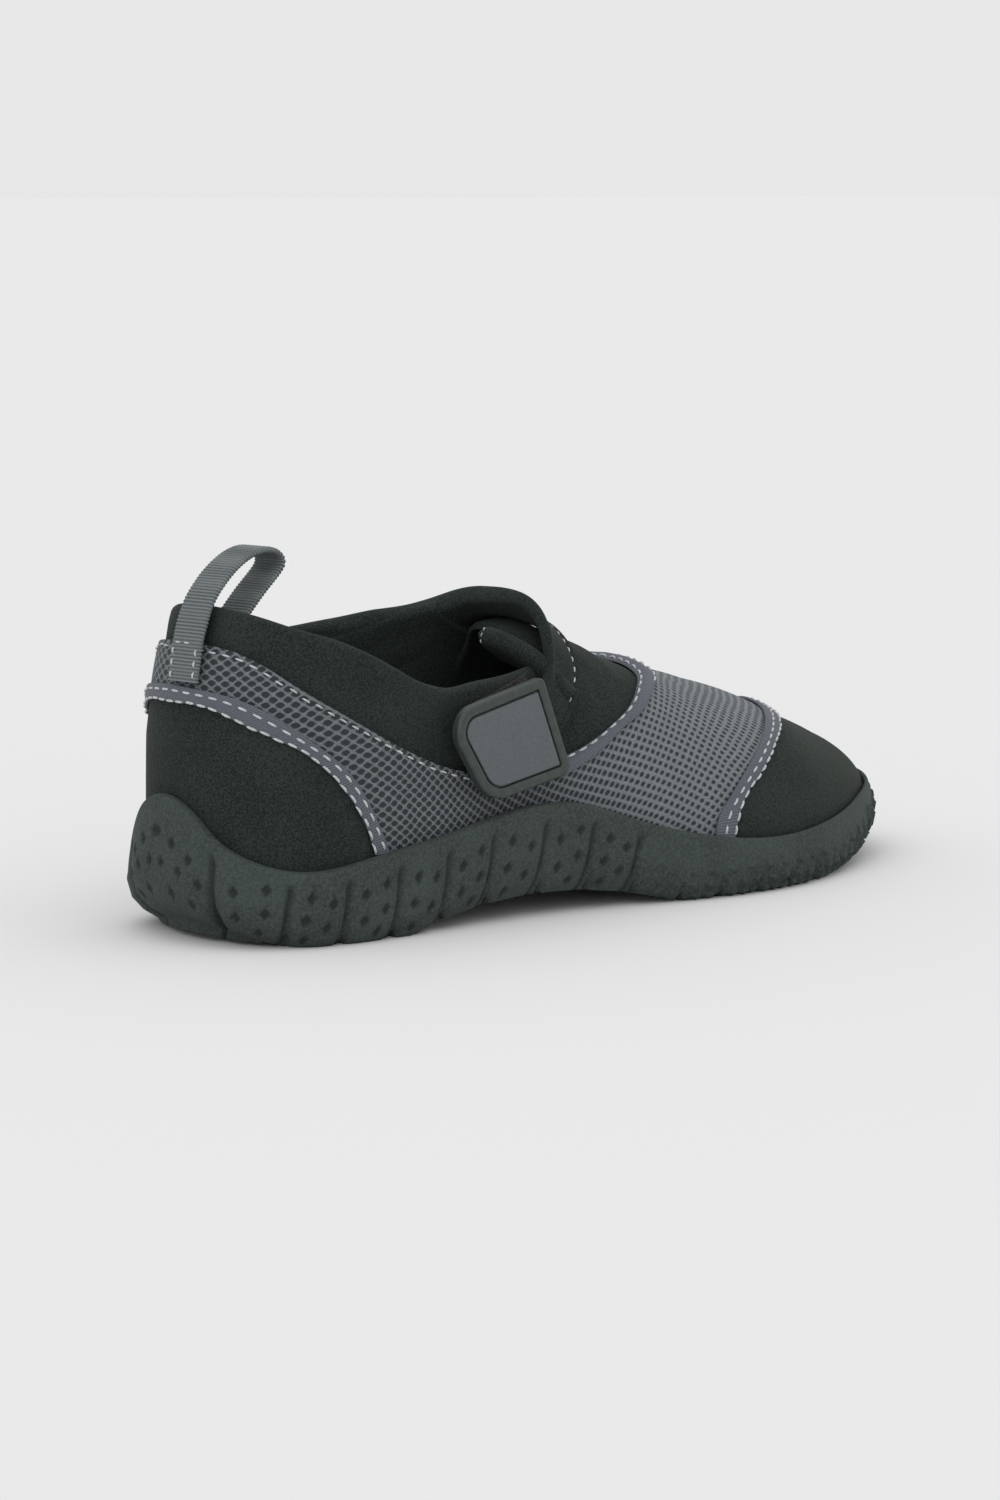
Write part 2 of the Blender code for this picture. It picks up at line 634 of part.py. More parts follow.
def make_heel_counter(look):
    """Counter under the heel tape."""
    heel_end = (HEEL_TAPE[0][0] + HEEL_TAPE[0][2]) / 2
    turns = round_heel([share for share in sections() if share <= heel_end + 1e-6])
    return panel("heel_counter", turns, panel_foot(turns), heel_seam(turns) - SEAM_LIFT, 4, look)


def make_toe_cap(look):
    """Toe cap in front of the toe tape."""
    toe_seam = tape_middle(TOE_TAPE)
    turns = round_toe([share for share in sections() if share > toe_seam[0][0]])
    share = share_of(turns)
    high = np.interp(share, [row[0] for row in toe_seam], [row[1] for row in toe_seam]) - SEAM_LIFT
    high = np.where(share > toe_seam[-1][0] + 1e-4, 1.0, high)
    return panel("toe_cap", turns, panel_foot(turns), high, 5, look)


def tape_rows(table, samples):
    """Smooth rows of four values along a tape, through the table and back down its mirror image."""
    index = np.arange(len(table))
    at = np.linspace(0, len(table) - 1, samples)
    return np.stack([curve_through(list(zip(index, [row[k] for row in table])), at) for k in range(4)], 1)


def make_tape_over_foot(name, table, samples, drop, look):
    """Tape that crosses the ridge from rim to rim, and steps down behind a panel's edge."""
    mirrored = [(a, 2 - b, c, 2 - d) for a, b, c, d in reversed(table[:-1])]
    rows = tape_rows(table + tuple(mirrored), samples)
    edges = []
    for blend, step in ((0.0, drop), (0.4, 0), (1.0, 0)):
        share, lift = (rows[:, :2] * (1 - blend) + rows[:, 2:] * blend).T
        turn = turn_of(share)
        outer_floor = lift_at_height(-turn, rim_height(-turn) + CLEARANCE)
        inner_floor = lift_at_height(turn, rim_height(turn) + CLEARANCE)
        lift = np.clip(lift, outer_floor, 2 - inner_floor)
        edges.append(upper_at(-turn, lift, np.full(len(turn), TAPE_CLEARANCE - step)))
    points = np.stack(edges, 1)
    tape = add_object(name, points, grid_faces(*points.shape[:2]), look)
    return thicken(tape, TAPE_THICKNESS, True)


def make_heel_tape(look):
    """Tape over the seam round the heel."""
    table = [(turn_of(a), b, turn_of(c), d) for a, b, c, d in HEEL_TAPE]
    half = tape_rows(table, 16)
    half[-1, (0, 2)] = 0
    whole = np.concatenate([half * (-1, 1, -1, 1), half[-2::-1]])
    edges = []
    for blend in (0.0, 0.5, 1.0):
        turn = whole[:, 0] * (1 - blend) + whole[:, 2] * blend
        height = HEEL_COLLAR_HEIGHT * (whole[:, 1] * (1 - blend) + whole[:, 3] * blend)
        height = np.maximum(height, rim_height(turn) + CLEARANCE)
        edges.append(upper_at(turn, lift_at_height(turn, height), np.full(len(turn), TAPE_CLEARANCE)))
    points = np.stack(edges, 1)
    tape = add_object("heel_tape", points, grid_faces(*points.shape[:2]), look)
    return thicken(tape, TAPE_THICKNESS, True)


def strap_grid(samples, columns):
    """Points of the strap's underside, from its end under the badge to its root, rear edge to front edge."""
    index = np.arange(len(STRAP))
    at = np.linspace(0, len(STRAP) - 1, samples)
    rear_share, rear_lift, front_share, front_lift, rise, seat = (
        curve_through(list(zip(index, [row[k] for row in STRAP])), at) for k in range(6))
    rows = []
    for blend in np.linspace(0, 1, columns):
        share = rear_share * (1 - blend) + front_share * blend
        lift = rear_lift * (1 - blend) + front_lift * blend
        over_vamp = CLEARANCE * 2 - SHELL_RECESS
        out = over_vamp + (STRAP_CLEARANCE - over_vamp) * np.clip(seat, 0, 1)
        out = out + STRAP_BULGE * np.clip(rise, 0, 1) * (1 - ramp(blend, 0.0, 1.0))
        rows.append(upper_at(-turn_of(share), lift, out))
    return np.stack(rows, 1)


def make_strap(look):
    """Instep strap, cut in one with the inner collar and fastened on the outer side."""
    points = strap_grid(28, 5)
    strap = add_object("strap", points, grid_faces(*points.shape[:2]), look)
    return thicken(strap, STRAP_THICKNESS, True)


def rounded_outline(corners, inset, arc_points=6):
    """Closed outline with round corners, moved inwards by the inset, as (along, up) points."""
    places = np.array([corner[:2] for corner in corners])
    sides = np.roll(places, -1, 0) - places
    outward = np.stack([sides[:, 1], -sides[:, 0]], -1) / np.linalg.norm(sides, axis=-1, keepdims=True)
    points = []
    for corner, before, after in zip(corners, np.roll(outward, 1, 0), outward):
        radius = max(corner[2] - inset, BADGE_LEAST_RADIUS)
        centre = corner[:2] - (before + after) * (radius + inset) / (1 + before @ after)
        for t in np.linspace(0, 1, arc_points):
            direction = before * (1 - t) + after * t
            points.append(centre + direction * radius / np.linalg.norm(direction))
    return np.array(points)


def badge_frame():
    """Centre of the badge's back on the outer side, with its along, up and out directions."""
    turn = -turn_of(BADGE_CENTRE_SHARE)
    lift = lift_at_height(turn, BADGE_CENTRE_HEIGHT)
    out = upper_normal(turn, lift)
    along = np.array([-out[1], out[0], 0]) / np.hypot(out[0], out[1])
    up = np.cross(out, along)
    stack = STRAP_CLEARANCE + STRAP_THICKNESS + 2 * CLEARANCE
    return upper_point(turn, lift) + out * stack, along, up, out


def plate_from_rings(name, rings, look):
    """Closed plate lofted through outlines of (inset, height over the badge's back)."""
    centre, along, up, out = badge_frame()
    loops = []
    for inset, height in rings:
        flat = rounded_outline(BADGE, inset)
        flat = np.concatenate([flat, flat[:1]])
        loops.append(centre + flat[:, :1] * along + flat[:, 1:] * up + height * out)
    columns = len(loops[0])
    faces = grid_faces(len(loops), columns)
    faces.append(tuple(range(columns - 1)))
    faces.append(tuple(range((len(loops) - 1) * columns, len(loops) * columns - 1)))
    return add_object(name, np.concatenate(loops), faces, look)


def make_badge(look):
    """Rubber tab on the strap's end, with a raised rim round a pocket."""
    top = BADGE_THICKNESS
    edge = BADGE_EDGE
    rings = ((edge / 2, 0), (0, edge / 2), (0, top - edge), (edge, top), (BADGE_RIM - edge / 2, top),
             (BADGE_RIM, top - edge / 2), (BADGE_RIM, top - BADGE_POCKET))
    return plate_from_rings("strap_badge", rings, look)


def make_badge_inlay(look):
    """Plain panel in the badge's pocket."""
    low = BADGE_THICKNESS - BADGE_POCKET + CLEARANCE
    inset = BADGE_RIM + CLEARANCE
    rings = ((inset, low), (inset, low + BADGE_EDGE / 2), (inset + BADGE_EDGE / 2, low + BADGE_EDGE))
    return plate_from_rings("badge_inlay", rings, look)


def make_hook_strip(look):
    """Hook tape on the collar, just showing over the badge's upper edge."""
    shares, low, high = np.array(HOOK_STRIP).T
    turn = -turn_of(shares)
    rows = []
    for blend in (0.0, 0.5, 1.0):
        lift = lift_at_height(turn, HEEL_COLLAR_HEIGHT * (low * (1 - blend) + high * blend))
        rows.append(upper_at(turn, lift, np.full(len(turn), 2 * CLEARANCE - SHELL_RECESS)))
    points = np.stack(rows, 1)
    strip = add_object("hook_strip", points, grid_faces(*points.shape[:2]), look)
    return thicken(strip, STRIP_THICKNESS, True)


def make_pull_loop(look):
    """Webbing loop at the heel, sewn outside and inside the collar, folded over to the front."""
    knots = list(range(len(LOOP_PATH)))
    at = np.linspace(0, len(LOOP_PATH) - 1, 31)
    out = curve_through(list(zip(knots, [row[0] for row in LOOP_PATH])), at)
    height = curve_through(list(zip(knots, [row[1] for row in LOOP_PATH])), at)
    root = lift_at_height(LOOP_TURN, LOOP_ROOT_HEIGHT)
    normal = upper_normal(LOOP_TURN, root)
    outward = np.array([normal[0], normal[1], 0]) / np.hypot(normal[0], normal[1])
    sideways = np.array([-outward[1], outward[0], 0])
    foot = upper_point(LOOP_TURN, root) * (1, 1, 0)
    centre_line = foot + out[:, None] * outward + height[:, None] * (0, 0, 1)
    points = np.stack([centre_line + sideways * place * LOOP_WIDTH for place in (-0.5, 0.0, 0.5)], 1)
    loop = add_object("pull_loop", points, grid_faces(*points.shape[:2]), look)
    wall = loop.modifiers.new("wall", "SOLIDIFY")
    wall.thickness = LOOP_THICKNESS
    wall.offset = 0
    return loop


def make_tongue(look):
    """Soft tongue under the throat's edge, reaching a little way into the opening."""
    lifts, tip = np.array(TONGUE).T
    rows = []
    for blend in np.linspace(0, 1, 6):
        share = tip * (1 - blend) + THROAT_FRONT_SHARE * blend
        turn = -turn_of(share)
        out = -SHELL_RECESS - throat_sag(turn, lifts) - SHELL_WALL - 3 * CLEARANCE
        rows.append(upper_at(turn, lifts, out))
    points = np.stack(rows, 1)
    tongue = add_object("tongue", points, grid_faces(*points.shape[:2]), look)
    return thicken(tongue, TONGUE_THICKNESS, False)


def make_insole(look):
    """Insole between the shell's walls on the footbed."""
    side = turn_of(np.array(INSOLE_SECTIONS))
    foot_x = inset_outline(side, cup_inset(side))[:, 0]
    top = footbed_height(foot_x / SOLE_LENGTH) + CLEARANCE + INSOLE_THICKNESS
    margin = -SHELL_RECESS - SHELL_WALL - CLEARANCE * (3 + 4 * ramp(share_of(side), 0.7, 0.95))
    left = upper_at(-side, lift_at_height(-side, top), margin)[:, :2]
    right = upper_at(side, lift_at_height(side, top), margin)[:, :2]
    rows = []
    for lower in (True, False):
        for across in (0.0, 0.5, 1.0):
            plan = left * (1 - across) + right * across
            share = plan[:, 0] / SOLE_LENGTH
            height = footbed_height(share) + CLEARANCE + (0 if lower else INSOLE_THICKNESS)
            rows.append(np.concatenate([plan, height[:, None]], -1))
    order = [rows[k] for k in (0, 1, 2, 5, 4, 3, 0)]
    points = np.stack(order, 1)
    return add_object("insole", points, grid_faces(*points.shape[:2]), look)


for old in list(bpy.data.objects):
    bpy.data.objects.remove(old)

SHOE = bpy.data.collections.new("water_shoe")
bpy.context.scene.collection.children.link(SHOE)

RUBBER = material("sole rubber", (60, 66, 64), 0.75)
NEOPRENE = material("neoprene", (43, 49, 47), 0.9)
MESH = material("mesh fabric", (90, 96, 99), 0.9)
TAPE = material("grosgrain tape", (85, 90, 94), 0.85)
BADGE_RUBBER = material("badge rubber", (56, 62, 60), 0.5)
INLAY = material("badge inlay", (89, 94, 97), 0.6)
WEBBING = material("webbing", (89, 95, 96), 0.85)
HOOK = material("hook tape", (30, 33, 33), 0.9)
LINING = material("lining", (34, 38, 37), 0.95)

make_sole(RUBBER)
make_insole(LINING)
make_upper(NEOPRENE)
make_tongue(NEOPRENE)
make_mesh_panel(MESH)
make_heel_counter(NEOPRENE)
make_toe_cap(NEOPRENE)
make_heel_tape(TAPE)
make_tape_over_foot("toe_tape", TOE_TAPE, 33, 0.0, TAPE)
make_tape_over_foot("vamp_tape", VAMP_TAPE, 29, SHELL_RECESS, TAPE)
make_strap(NEOPRENE)
make_hook_strip(HOOK)
make_badge(BADGE_RUBBER)
make_badge_inlay(INLAY)
make_pull_loop(WEBBING)
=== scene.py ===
"""Looks of the child's water shoe: its solids' forms at a finer step, with their fabrics and stitches.

Frame: +X to the toe, -Y to the outer side, +Z up, in metres. Shares, turns and lifts are as in the CAD.
"""

import bmesh
import bpy
import numpy as np
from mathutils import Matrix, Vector


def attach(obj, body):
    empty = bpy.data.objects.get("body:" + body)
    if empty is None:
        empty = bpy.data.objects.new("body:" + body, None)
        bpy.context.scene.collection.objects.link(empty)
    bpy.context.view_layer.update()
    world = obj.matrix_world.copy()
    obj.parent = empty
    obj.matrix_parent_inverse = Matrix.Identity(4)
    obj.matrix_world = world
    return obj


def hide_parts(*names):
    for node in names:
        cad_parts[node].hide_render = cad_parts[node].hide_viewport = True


# Last and sole, in metres
SOLE_LENGTH = 0.205
HEEL_WIDTH = 0.062
BALL_WIDTH = 0.080
TOE_SWING = 0.006
INSTEP_HEIGHT = 0.080
HEEL_COLLAR_HEIGHT = 0.070
HEEL_SEAT = 0.032
HEEL_TOP_LEAN = 0.0052
HEEL_LEAN = 0.016
TOE_BOX_SETBACK = 0.020
RIDGE_OFFSET = 0.002
HEEL_RIM_HEIGHT = 0.030
FOOTBED_HEIGHT = 0.010
TOE_SPRING = 0.009
WAIST_LIFT = 0.005
HEEL_BEVEL = 0.004
CUP_WALL = 0.0045
SOLE_EDGE_ROUND = 0.003
HEEL_EDGE_ROUND = 0.005
HEEL_WALL_LEAN = 0.0014
SIDE_WALL_LEAN = 0.0010
LUG_DEPTH = 0.0018
GROOVE_DEPTH = 0.0011
GROOVE_WIDTH = 0.0018
GROOVE_SLANT = 0.0042

# Sheets of the upper
SHELL_WALL = 0.0022
SHELL_RECESS = 0.0014
PANEL_THICKNESS = 0.0008
TAPE_THICKNESS = 0.0007
TAPE_CLEARANCE = 0.00035
STRAP_THICKNESS = 0.0018
STRAP_CLEARANCE = 0.0005
STRAP_BULGE = 0.0036
THROAT_SAG = 0.0060
CLEARANCE = 0.0003
THROAT_SHARE = 0.41
SEAM_LIFT = 0.005
PANEL_TUCK = 0.003

# Badge and loop
BADGE_THICKNESS = 0.0024
BADGE_RIM = 0.0023
BADGE_POCKET = 0.0010
BADGE_EDGE = 0.0006
BADGE_LEAST_RADIUS = 0.0003
BADGE_CENTRE_SHARE = 0.338
BADGE_CENTRE_HEIGHT = 0.0380
LOOP_WIDTH = 0.0085
LOOP_THICKNESS = 0.0012
LOOP_TURN = -0.075
LOOP_ROOT_HEIGHT = 0.0580

# Outline of the sole: place, then the half widths on both sides as shares of the named width.
OUTLINE = (
    # share, outer side, inner side, width
    (0.00, 0.000, 0.000, HEEL_WIDTH),
    (0.03, 0.310, 0.300, HEEL_WIDTH),
    (0.10, 0.465, 0.455, HEEL_WIDTH),
    (0.20, 0.505, 0.475, HEEL_WIDTH),
    (0.32, 0.500, 0.430, HEEL_WIDTH),
    (0.45, 0.410, 0.330, BALL_WIDTH),
    (0.58, 0.470, 0.400, BALL_WIDTH),
    (0.70, 0.505, 0.480, BALL_WIDTH),
    (0.80, 0.465, 0.475, BALL_WIDTH),
    (0.90, 0.352, 0.395, BALL_WIDTH),
    (0.97, 0.200, 0.245, BALL_WIDTH),
    (1.00, 0.000, 0.000, BALL_WIDTH),
)

# Top edge of the sole's side wall: place, height as a share of HEEL_RIM_HEIGHT.
RIM = (
    (0.00, 1.00), (0.007, 0.87), (0.017, 0.72), (0.03, 0.63), (0.05, 0.56), (0.08, 0.51), (0.12, 0.51),
    (0.17, 0.56), (0.22, 0.61), (0.27, 0.66), (0.33, 0.74), (0.39, 0.79), (0.43, 0.775), (0.47, 0.70),
    (0.51, 0.60), (0.56, 0.50), (0.61, 0.43), (0.67, 0.38), (0.75, 0.38), (0.82, 0.42), (0.88, 0.48),
    (0.94, 0.56), (1.00, 0.62),
)

# Top line of the foot: place, height as a share of INSTEP_HEIGHT. Behind 0.36 it is the leg.
ROOF = (
    (0.00, 1.40), (0.15, 1.40), (0.28, 1.27), (0.36, 1.02), (0.42, 0.85), (0.47, 0.775), (0.52, 0.719),
    (0.60, 0.634), (0.68, 0.567), (0.76, 0.512), (0.84, 0.429), (0.91, 0.362), (0.96, 0.30), (1.00, 0.16),
)

# Inset of the upper's feather edge from the sole's outline: place, share of CUP_WALL.
CUP = ((0.0, 1.00), (0.3, 1.00), (0.6, 0.76), (0.9, 0.58), (1.0, 0.53))

# Section of the sole's side wall, from the floor up.
SIDE = (
    # share of the wall's height, share of the edge's round, share of the lean
    (0.00, 1.00, 0.00),
    (0.10, 0.52, 0.00),
    (0.26, 0.15, 0.00),
    (0.48, 0.00, 0.00),
    (0.76, 0.00, 0.40),
    (1.00, 0.00, 1.00),
)

# Grooves that run from the tread up the side wall, and cross channels that stay under the forefoot.
SIDE_GROOVES = (0.016, 0.071, 0.133, 0.196, 0.260, 0.319, 0.387, 0.447, 0.503)
TREAD_CHANNELS = (0.56, 0.61, 0.66, 0.71, 0.76, 0.81, 0.86, 0.91, 0.955)
LONG_CHANNELS = (0.33, 0.67)

# Collar line: place, height on the outer side, height on the inner side, as shares of HEEL_COLLAR_HEIGHT.
COLLAR = (
    (0.00, 1.000, 1.000), (0.03, 0.974, 0.974), (0.072, 0.937, 0.937), (0.149, 0.881, 0.900),
    (0.218, 0.797, 0.880), (0.248, 0.752, 0.877), (0.271, 0.730, 0.880), (0.290, 0.720, 0.886),
    (0.319, 0.729, 0.898), (0.358, 0.739, 0.919), (0.410, 0.763, 0.947),
)

# Upper edge of the mesh panel behind the badge: place, share of HEEL_COLLAR_HEIGHT.
MESH_EDGE = (
    (0.00, 0.883), (0.016, 0.870), (0.035, 0.844), (0.086, 0.760), (0.145, 0.669), (0.213, 0.564),
    (0.271, 0.490), (0.33, 0.450), (0.40, 0.450), (0.449, 0.473),
)

# Tape round the heel, from the rim to the heel's centre: places, heights as shares of HEEL_COLLAR_HEIGHT.
HEEL_TAPE = (
    # upper edge: share, height; lower edge: share, height
    (0.196, 0.258, 0.178, 0.252),
    (0.174, 0.391, 0.160, 0.373),
    (0.145, 0.506, 0.128, 0.489),
    (0.107, 0.593, 0.083, 0.586),
    (0.056, 0.689, 0.033, 0.657),
    (0.016, 0.742, 0.010, 0.700),
    (0.000, 0.759, 0.000, 0.709),
)

# Tapes over the foot, from the rim to the ridge: rear edge and front edge.
TOE_TAPE = (
    # rear share, rear lift, front share, front lift
    (0.608, 0.035, 0.634, 0.030),
    (0.613, 0.090, 0.643, 0.107),
    (0.632, 0.161, 0.666, 0.201),
    (0.666, 0.268, 0.700, 0.290),
    (0.710, 0.389, 0.742, 0.400),
    (0.756, 0.517, 0.790, 0.520),
    (0.820, 0.711, 0.848, 0.700),
    (0.862, 0.880, 0.887, 0.870),
    (0.891, 1.000, 0.917, 1.000),
)
VAMP_TAPE = (
    (0.445, 0.242, 0.452, 0.212),
    (0.471, 0.289, 0.480, 0.270),
    (0.497, 0.349, 0.508, 0.345),
    (0.534, 0.456, 0.545, 0.440),
    (0.570, 0.597, 0.585, 0.580),
    (0.600, 0.720, 0.622, 0.715),
    (0.622, 0.860, 0.645, 0.860),
    (0.639, 1.000, 0.664, 1.000),
)

# Strap, from its end under the badge over the instep to its root at the inner collar.
STRAP = (
    # rear share, rear lift, front share, front lift, rise of the rear edge, rise over the vamp
    (0.340, 0.175, 0.385, 0.140, 0.00, 1.0),
    (0.368, 0.270, 0.405, 0.215, 0.00, 1.0),
    (0.395, 0.350, 0.422, 0.280, 0.00, 1.0),
    (0.415, 0.450, 0.440, 0.345, 0.15, 0.6),
    (0.424, 0.570, 0.460, 0.430, 0.50, 0.0),
    (0.427, 0.720, 0.476, 0.540, 0.70, 0.0),
    (0.428, 0.880, 0.487, 0.720, 0.40, 0.0),
    (0.425, 1.060, 0.494, 0.930, 0.10, 0.0),
    (0.412, 1.250, 0.494, 1.180, 0.00, 0.0),
    (0.385, 1.420, 0.488, 1.420, 0.00, 0.0),
    (0.350, 1.548, 0.470, 1.620, 0.00, 0.0),
    (0.310, 1.645, 0.430, 1.735, 0.00, 0.0),
    (0.265, 1.703, 0.370, 1.790, 0.00, 0.0),
    (0.225, 1.728, 0.300, 1.800, 0.00, 0.0),
    (0.195, 1.742, 0.220, 1.775, 0.00, 0.0),
)

# Outline of the badge seen from the outer side, from its centre: along, up, corner radius, in metres.
BADGE = (
    (-0.0170, 0.0070, 0.0060),
    (-0.0060, -0.0122, 0.0070),
    (0.0174, -0.0078, 0.0025),
    (0.0104, 0.0133, 0.0015),
)

# Centre line of the pull loop: out from the heel's surface, height over the floor, in metres.
LOOP_PATH = (
    (0.0019, 0.0540), (0.0012, 0.0580), (0.0004, 0.0620), (-0.0010, 0.0661), (-0.0029, 0.0700),
    (-0.0060, 0.0736), (-0.0098, 0.0767), (-0.0142, 0.0790), (-0.0186, 0.0799), (-0.0222, 0.0789),
    (-0.0234, 0.0768), (-0.0214, 0.0744), (-0.0180, 0.0716), (-0.0148, 0.0687), (-0.0116, 0.0655),
    (-0.0088, 0.0620), (-0.0066, 0.0582), (-0.0050, 0.0540),
)

# Finer steps and reliefs, in metres
SOLE_COLUMNS = 620
SOLE_ROWS = 36
HEEL_UPRIGHT = 0.35
HALVINGS = 15
TREAD_COLUMNS = 60
DIMPLE_HALF_ALONG = 0.0012
DIMPLE_HALF_UP = 0.0014
DIMPLE_DEPTH = 0.0005
TREAD_FINE_PITCH = 0.0036
TREAD_FINE_DEPTH = 0.0003
COLLAR_ROLL = 0.0014
QUARTER_END = 0.475
VAMP_START = 0.455
STRAP_ROLL = 0.0011
STRAP_INNER = 0.0032
STRAP_SEAT = 0.0005
STRAP_DIP = 0.00045
STRAP_SEAM = 0.87
STRAP_EDGE = 0.08
STRAP_END_UNDER = 0.0022
STRAP_END_OVER = 0.0009
LIP_RADIUS = 0.0022
TONGUE_REACH = 0.012
TONGUE_RUN = (0.80, 0.60, -0.45)
TAPE_TUCK = 0.0016
RIB_PITCH = 0.00082
RIB_DEPTH = 0.00006
TOE_RIM_DROP = 0.0014
CUT_SLOPE = 0.0007
LIP_RISE = 0.0007
LIP_GAP = 0.0001
# Strength of the painted shade in the sole's dimples and tread channels.
RECESS_PAINTED_SHADE = 0.80
INNER_COLLAR_DROP = 0.035
TAPE_SEAT = 0.4 * TAPE_CLEARANCE
FABRIC_LEVEL = 0.045
COUNTER_PUFF = 0.0004
TAPE_CROWN = 0.00012
LOOP_SEAM_ROW = 1.95
HEEL_TAPE_END = (HEEL_TAPE[0][0] + HEEL_TAPE[0][2]) / 2
HOLE_PITCH_ALONG = 0.0027
HOLE_PITCH_ACROSS = 0.0021
HOLE_SHARE_ALONG = 0.21
HOLE_SHARE_ACROSS = 0.20
VAMP_CORNER_ROW = 4.3

# Rows of stitches by the name of their piece
STITCHES = {
    # length, gap, radius of the thread, wander, seed
    "seam_stitches": (0.0024, 0.0010, 0.00027, 0.0, 1),
    "edge_stitches": (0.0026, 0.0004, 0.00029, 0.00010, 4),
    "mesh_edge_stitches": (0.0020, 0.0012, 0.00022, 0.00012, 7),
    "strap_stitches": (0.0016, 0.0011, 0.00020, 0.0, 1),
    "tongue_stitches": (0.0009, 0.0006, 0.00014, 0.0, 1),
    "loop_stitches": (0.0015, 0.0009, 0.00022, 0.00005, 5),
}

# Screen colours of the sole and the mesh
SOLE_DARK = (42, 50, 47)
SOLE_LIGHT = (63, 72, 68)
SOLE_PALE = (70, 80, 75)
# Painted shade in the sole's grooves, dimples and tread channels.
SOLE_PAINTED_SHADE = (26, 31, 29)
MESH_DARK = (82, 87, 92)
MESH_LIGHT = (108, 114, 118)
# Painted highlight on the crowns of the mesh's yarn.
MESH_PAINTED_HIGHLIGHT = (130, 136, 139)
MESH_HOLE = (34, 39, 41)

# Dimples of a side panel between two grooves: share along it, share of its height.
DIMPLES = (
    ((0.34, 0.70), (0.72, 0.60), (0.30, 0.40), (0.68, 0.28), (0.36, 0.12)),
    ((0.30, 0.62), (0.70, 0.72), (0.34, 0.30), (0.72, 0.42), (0.66, 0.14)),
)

# Dimples round the back of the heel: metres from its middle, share of its height.
HEEL_DIMPLES = (
    (0.0095, 0.56), (0.0050, 0.66), (0.0005, 0.74), (-0.0050, 0.66), (-0.0095, 0.56),
    (0.0120, 0.38), (0.0070, 0.45), (0.0020, 0.50), (-0.0035, 0.48), (-0.0085, 0.40), (-0.0130, 0.33),
    (0.0095, 0.20), (0.0040, 0.26), (-0.0020, 0.28), (-0.0075, 0.20),
)

# Raised diamonds round the forefoot, row by row: height over the tread, half size, relief, pitch.
FOREFOOT_BUMPS = (
    (0.0009, 0.0013, 0.0011, 0.0031),
    (0.0036, 0.0013, 0.0009, 0.0043),
    (0.0066, 0.0012, 0.0007, 0.0052),
)

# Middle of the tongue's lip from the outer corner to its tip, from the heel's back, in metres.
TONGUE_LIP = (
    (0.0915, -0.0245, 0.0460), (0.0880, -0.0225, 0.0505), (0.0855, -0.0198, 0.0540), (0.0835, -0.0160, 0.0563),
    (0.0816, -0.0120, 0.0579), (0.0800, -0.0085, 0.0586),
)

# Start of the tape over the vamp, under the badge.
VAMP_LEAD = ((0.415, 0.200, 0.420, 0.160),)

# Creases: place, lift from the outer side, half length in lift, half width in share, slant, metres outwards.
CREASES = (
    (0.500, 0.55, 0.20, 0.014, 0.35, -0.0005),
    (0.545, 0.80, 0.25, 0.012, 0.25, 0.0004),
    (0.575, 1.15, 0.25, 0.012, -0.20, -0.0004),
    (0.300, 0.42, 0.12, 0.030, 0.80, 0.0005),
    (0.230, 0.50, 0.10, 0.020, 0.90, -0.0005),
    (0.720, 1.00, 0.30, 0.016, 0.10, 0.0003),
    (0.120, 0.30, 0.18, 0.030, 0.30, 0.0004),
    (0.930, 0.75, 0.25, 0.020, 0.20, 0.0004),
)

# Stage
FLOOR_HALF = 30.0
FLOOR_ALBEDO = 0.815
WORLD_LIGHT = 0.78
BACKDROP = 0.800
SUNS = (
    # name, strength, angle in degrees, direction towards the light
    ("key", 0.55, 80, (-0.15, -0.20, 0.95)),
    ("front", 0.50, 70, (-0.75, -0.60, 0.35)),
)
CAMERA_PLACE = (-0.5122, -0.6763, 0.1552)
CAMERA_TARGET = (0.0643, 0.0037, 0.0309)
CAMERA_LENS = 97.9


def curve_through(rows, at, level_ends=False):
    """Smooth curve through (place, value) rows: a natural cubic, or one with level ends."""
    knots = np.array([row[0] for row in rows], float)
    values = np.array([row[1] for row in rows], float)
    count = len(knots)
    step = np.diff(knots)
    slope = np.diff(values) / step
    matrix = np.eye(count)
    right = np.zeros(count)
    for i in range(1, count - 1):
        matrix[i, i - 1:i + 2] = step[i - 1], 2 * (step[i - 1] + step[i]), step[i]
        right[i] = 6 * (slope[i] - slope[i - 1])
    if level_ends:
        matrix[0, :2] = 2 * step[0], step[0]
        matrix[-1, -2:] = step[-1], 2 * step[-1]
        right[0] = 6 * slope[0]
        right[-1] = -6 * slope[-1]
    bend = np.linalg.solve(matrix, right)
    at = np.clip(at, knots[0], knots[-1])
    i = np.clip(np.searchsorted(knots, at, "right") - 1, 0, count - 2)
    before = at - knots[i]
    after = knots[i + 1] - at
    span = step[i]
    cubic = (bend[i] * after ** 3 + bend[i + 1] * before ** 3) / (6 * span)
    falling = (values[i] / span - bend[i] * span / 6) * after
    rising = (values[i + 1] / span - bend[i + 1] * span / 6) * before
    return cubic + falling + rising


def ramp(value, start, end):
    """Smooth step from 0 at start to 1 at end."""
    t = np.clip((np.asarray(value, float) - start) / (end - start), 0, 1)
    return t * t * (3 - 2 * t)


def between(first, second, blend):
    """Value part of the way from the first to the second."""
    return first * (1 - blend) + second * blend


def unit(vectors):
    """Vectors brought to length 1."""
    return vectors / np.linalg.norm(vectors, axis=-1, keepdims=True)


def turn_of(share):
    """Turn on the inner side for a place along the sole."""
    return np.arccos(1 - 2 * np.clip(share, 0, 1))


def share_of(turn):
    """Place along the sole for a turn."""
    return (1 - np.cos(turn)) / 2


def by_turn(rows, turn, level_ends=True):
    """Curve through (share, value) rows, smooth where it passes the heel and the toe."""
    return curve_through([(turn_of(share), value) for share, value in rows], np.abs(turn), level_ends)


def columns_at(table, row):
    """Smooth curves through a table's columns, at rows that need not be whole."""
    return [curve_through(list(enumerate(column)), row) for column in zip(*table)]


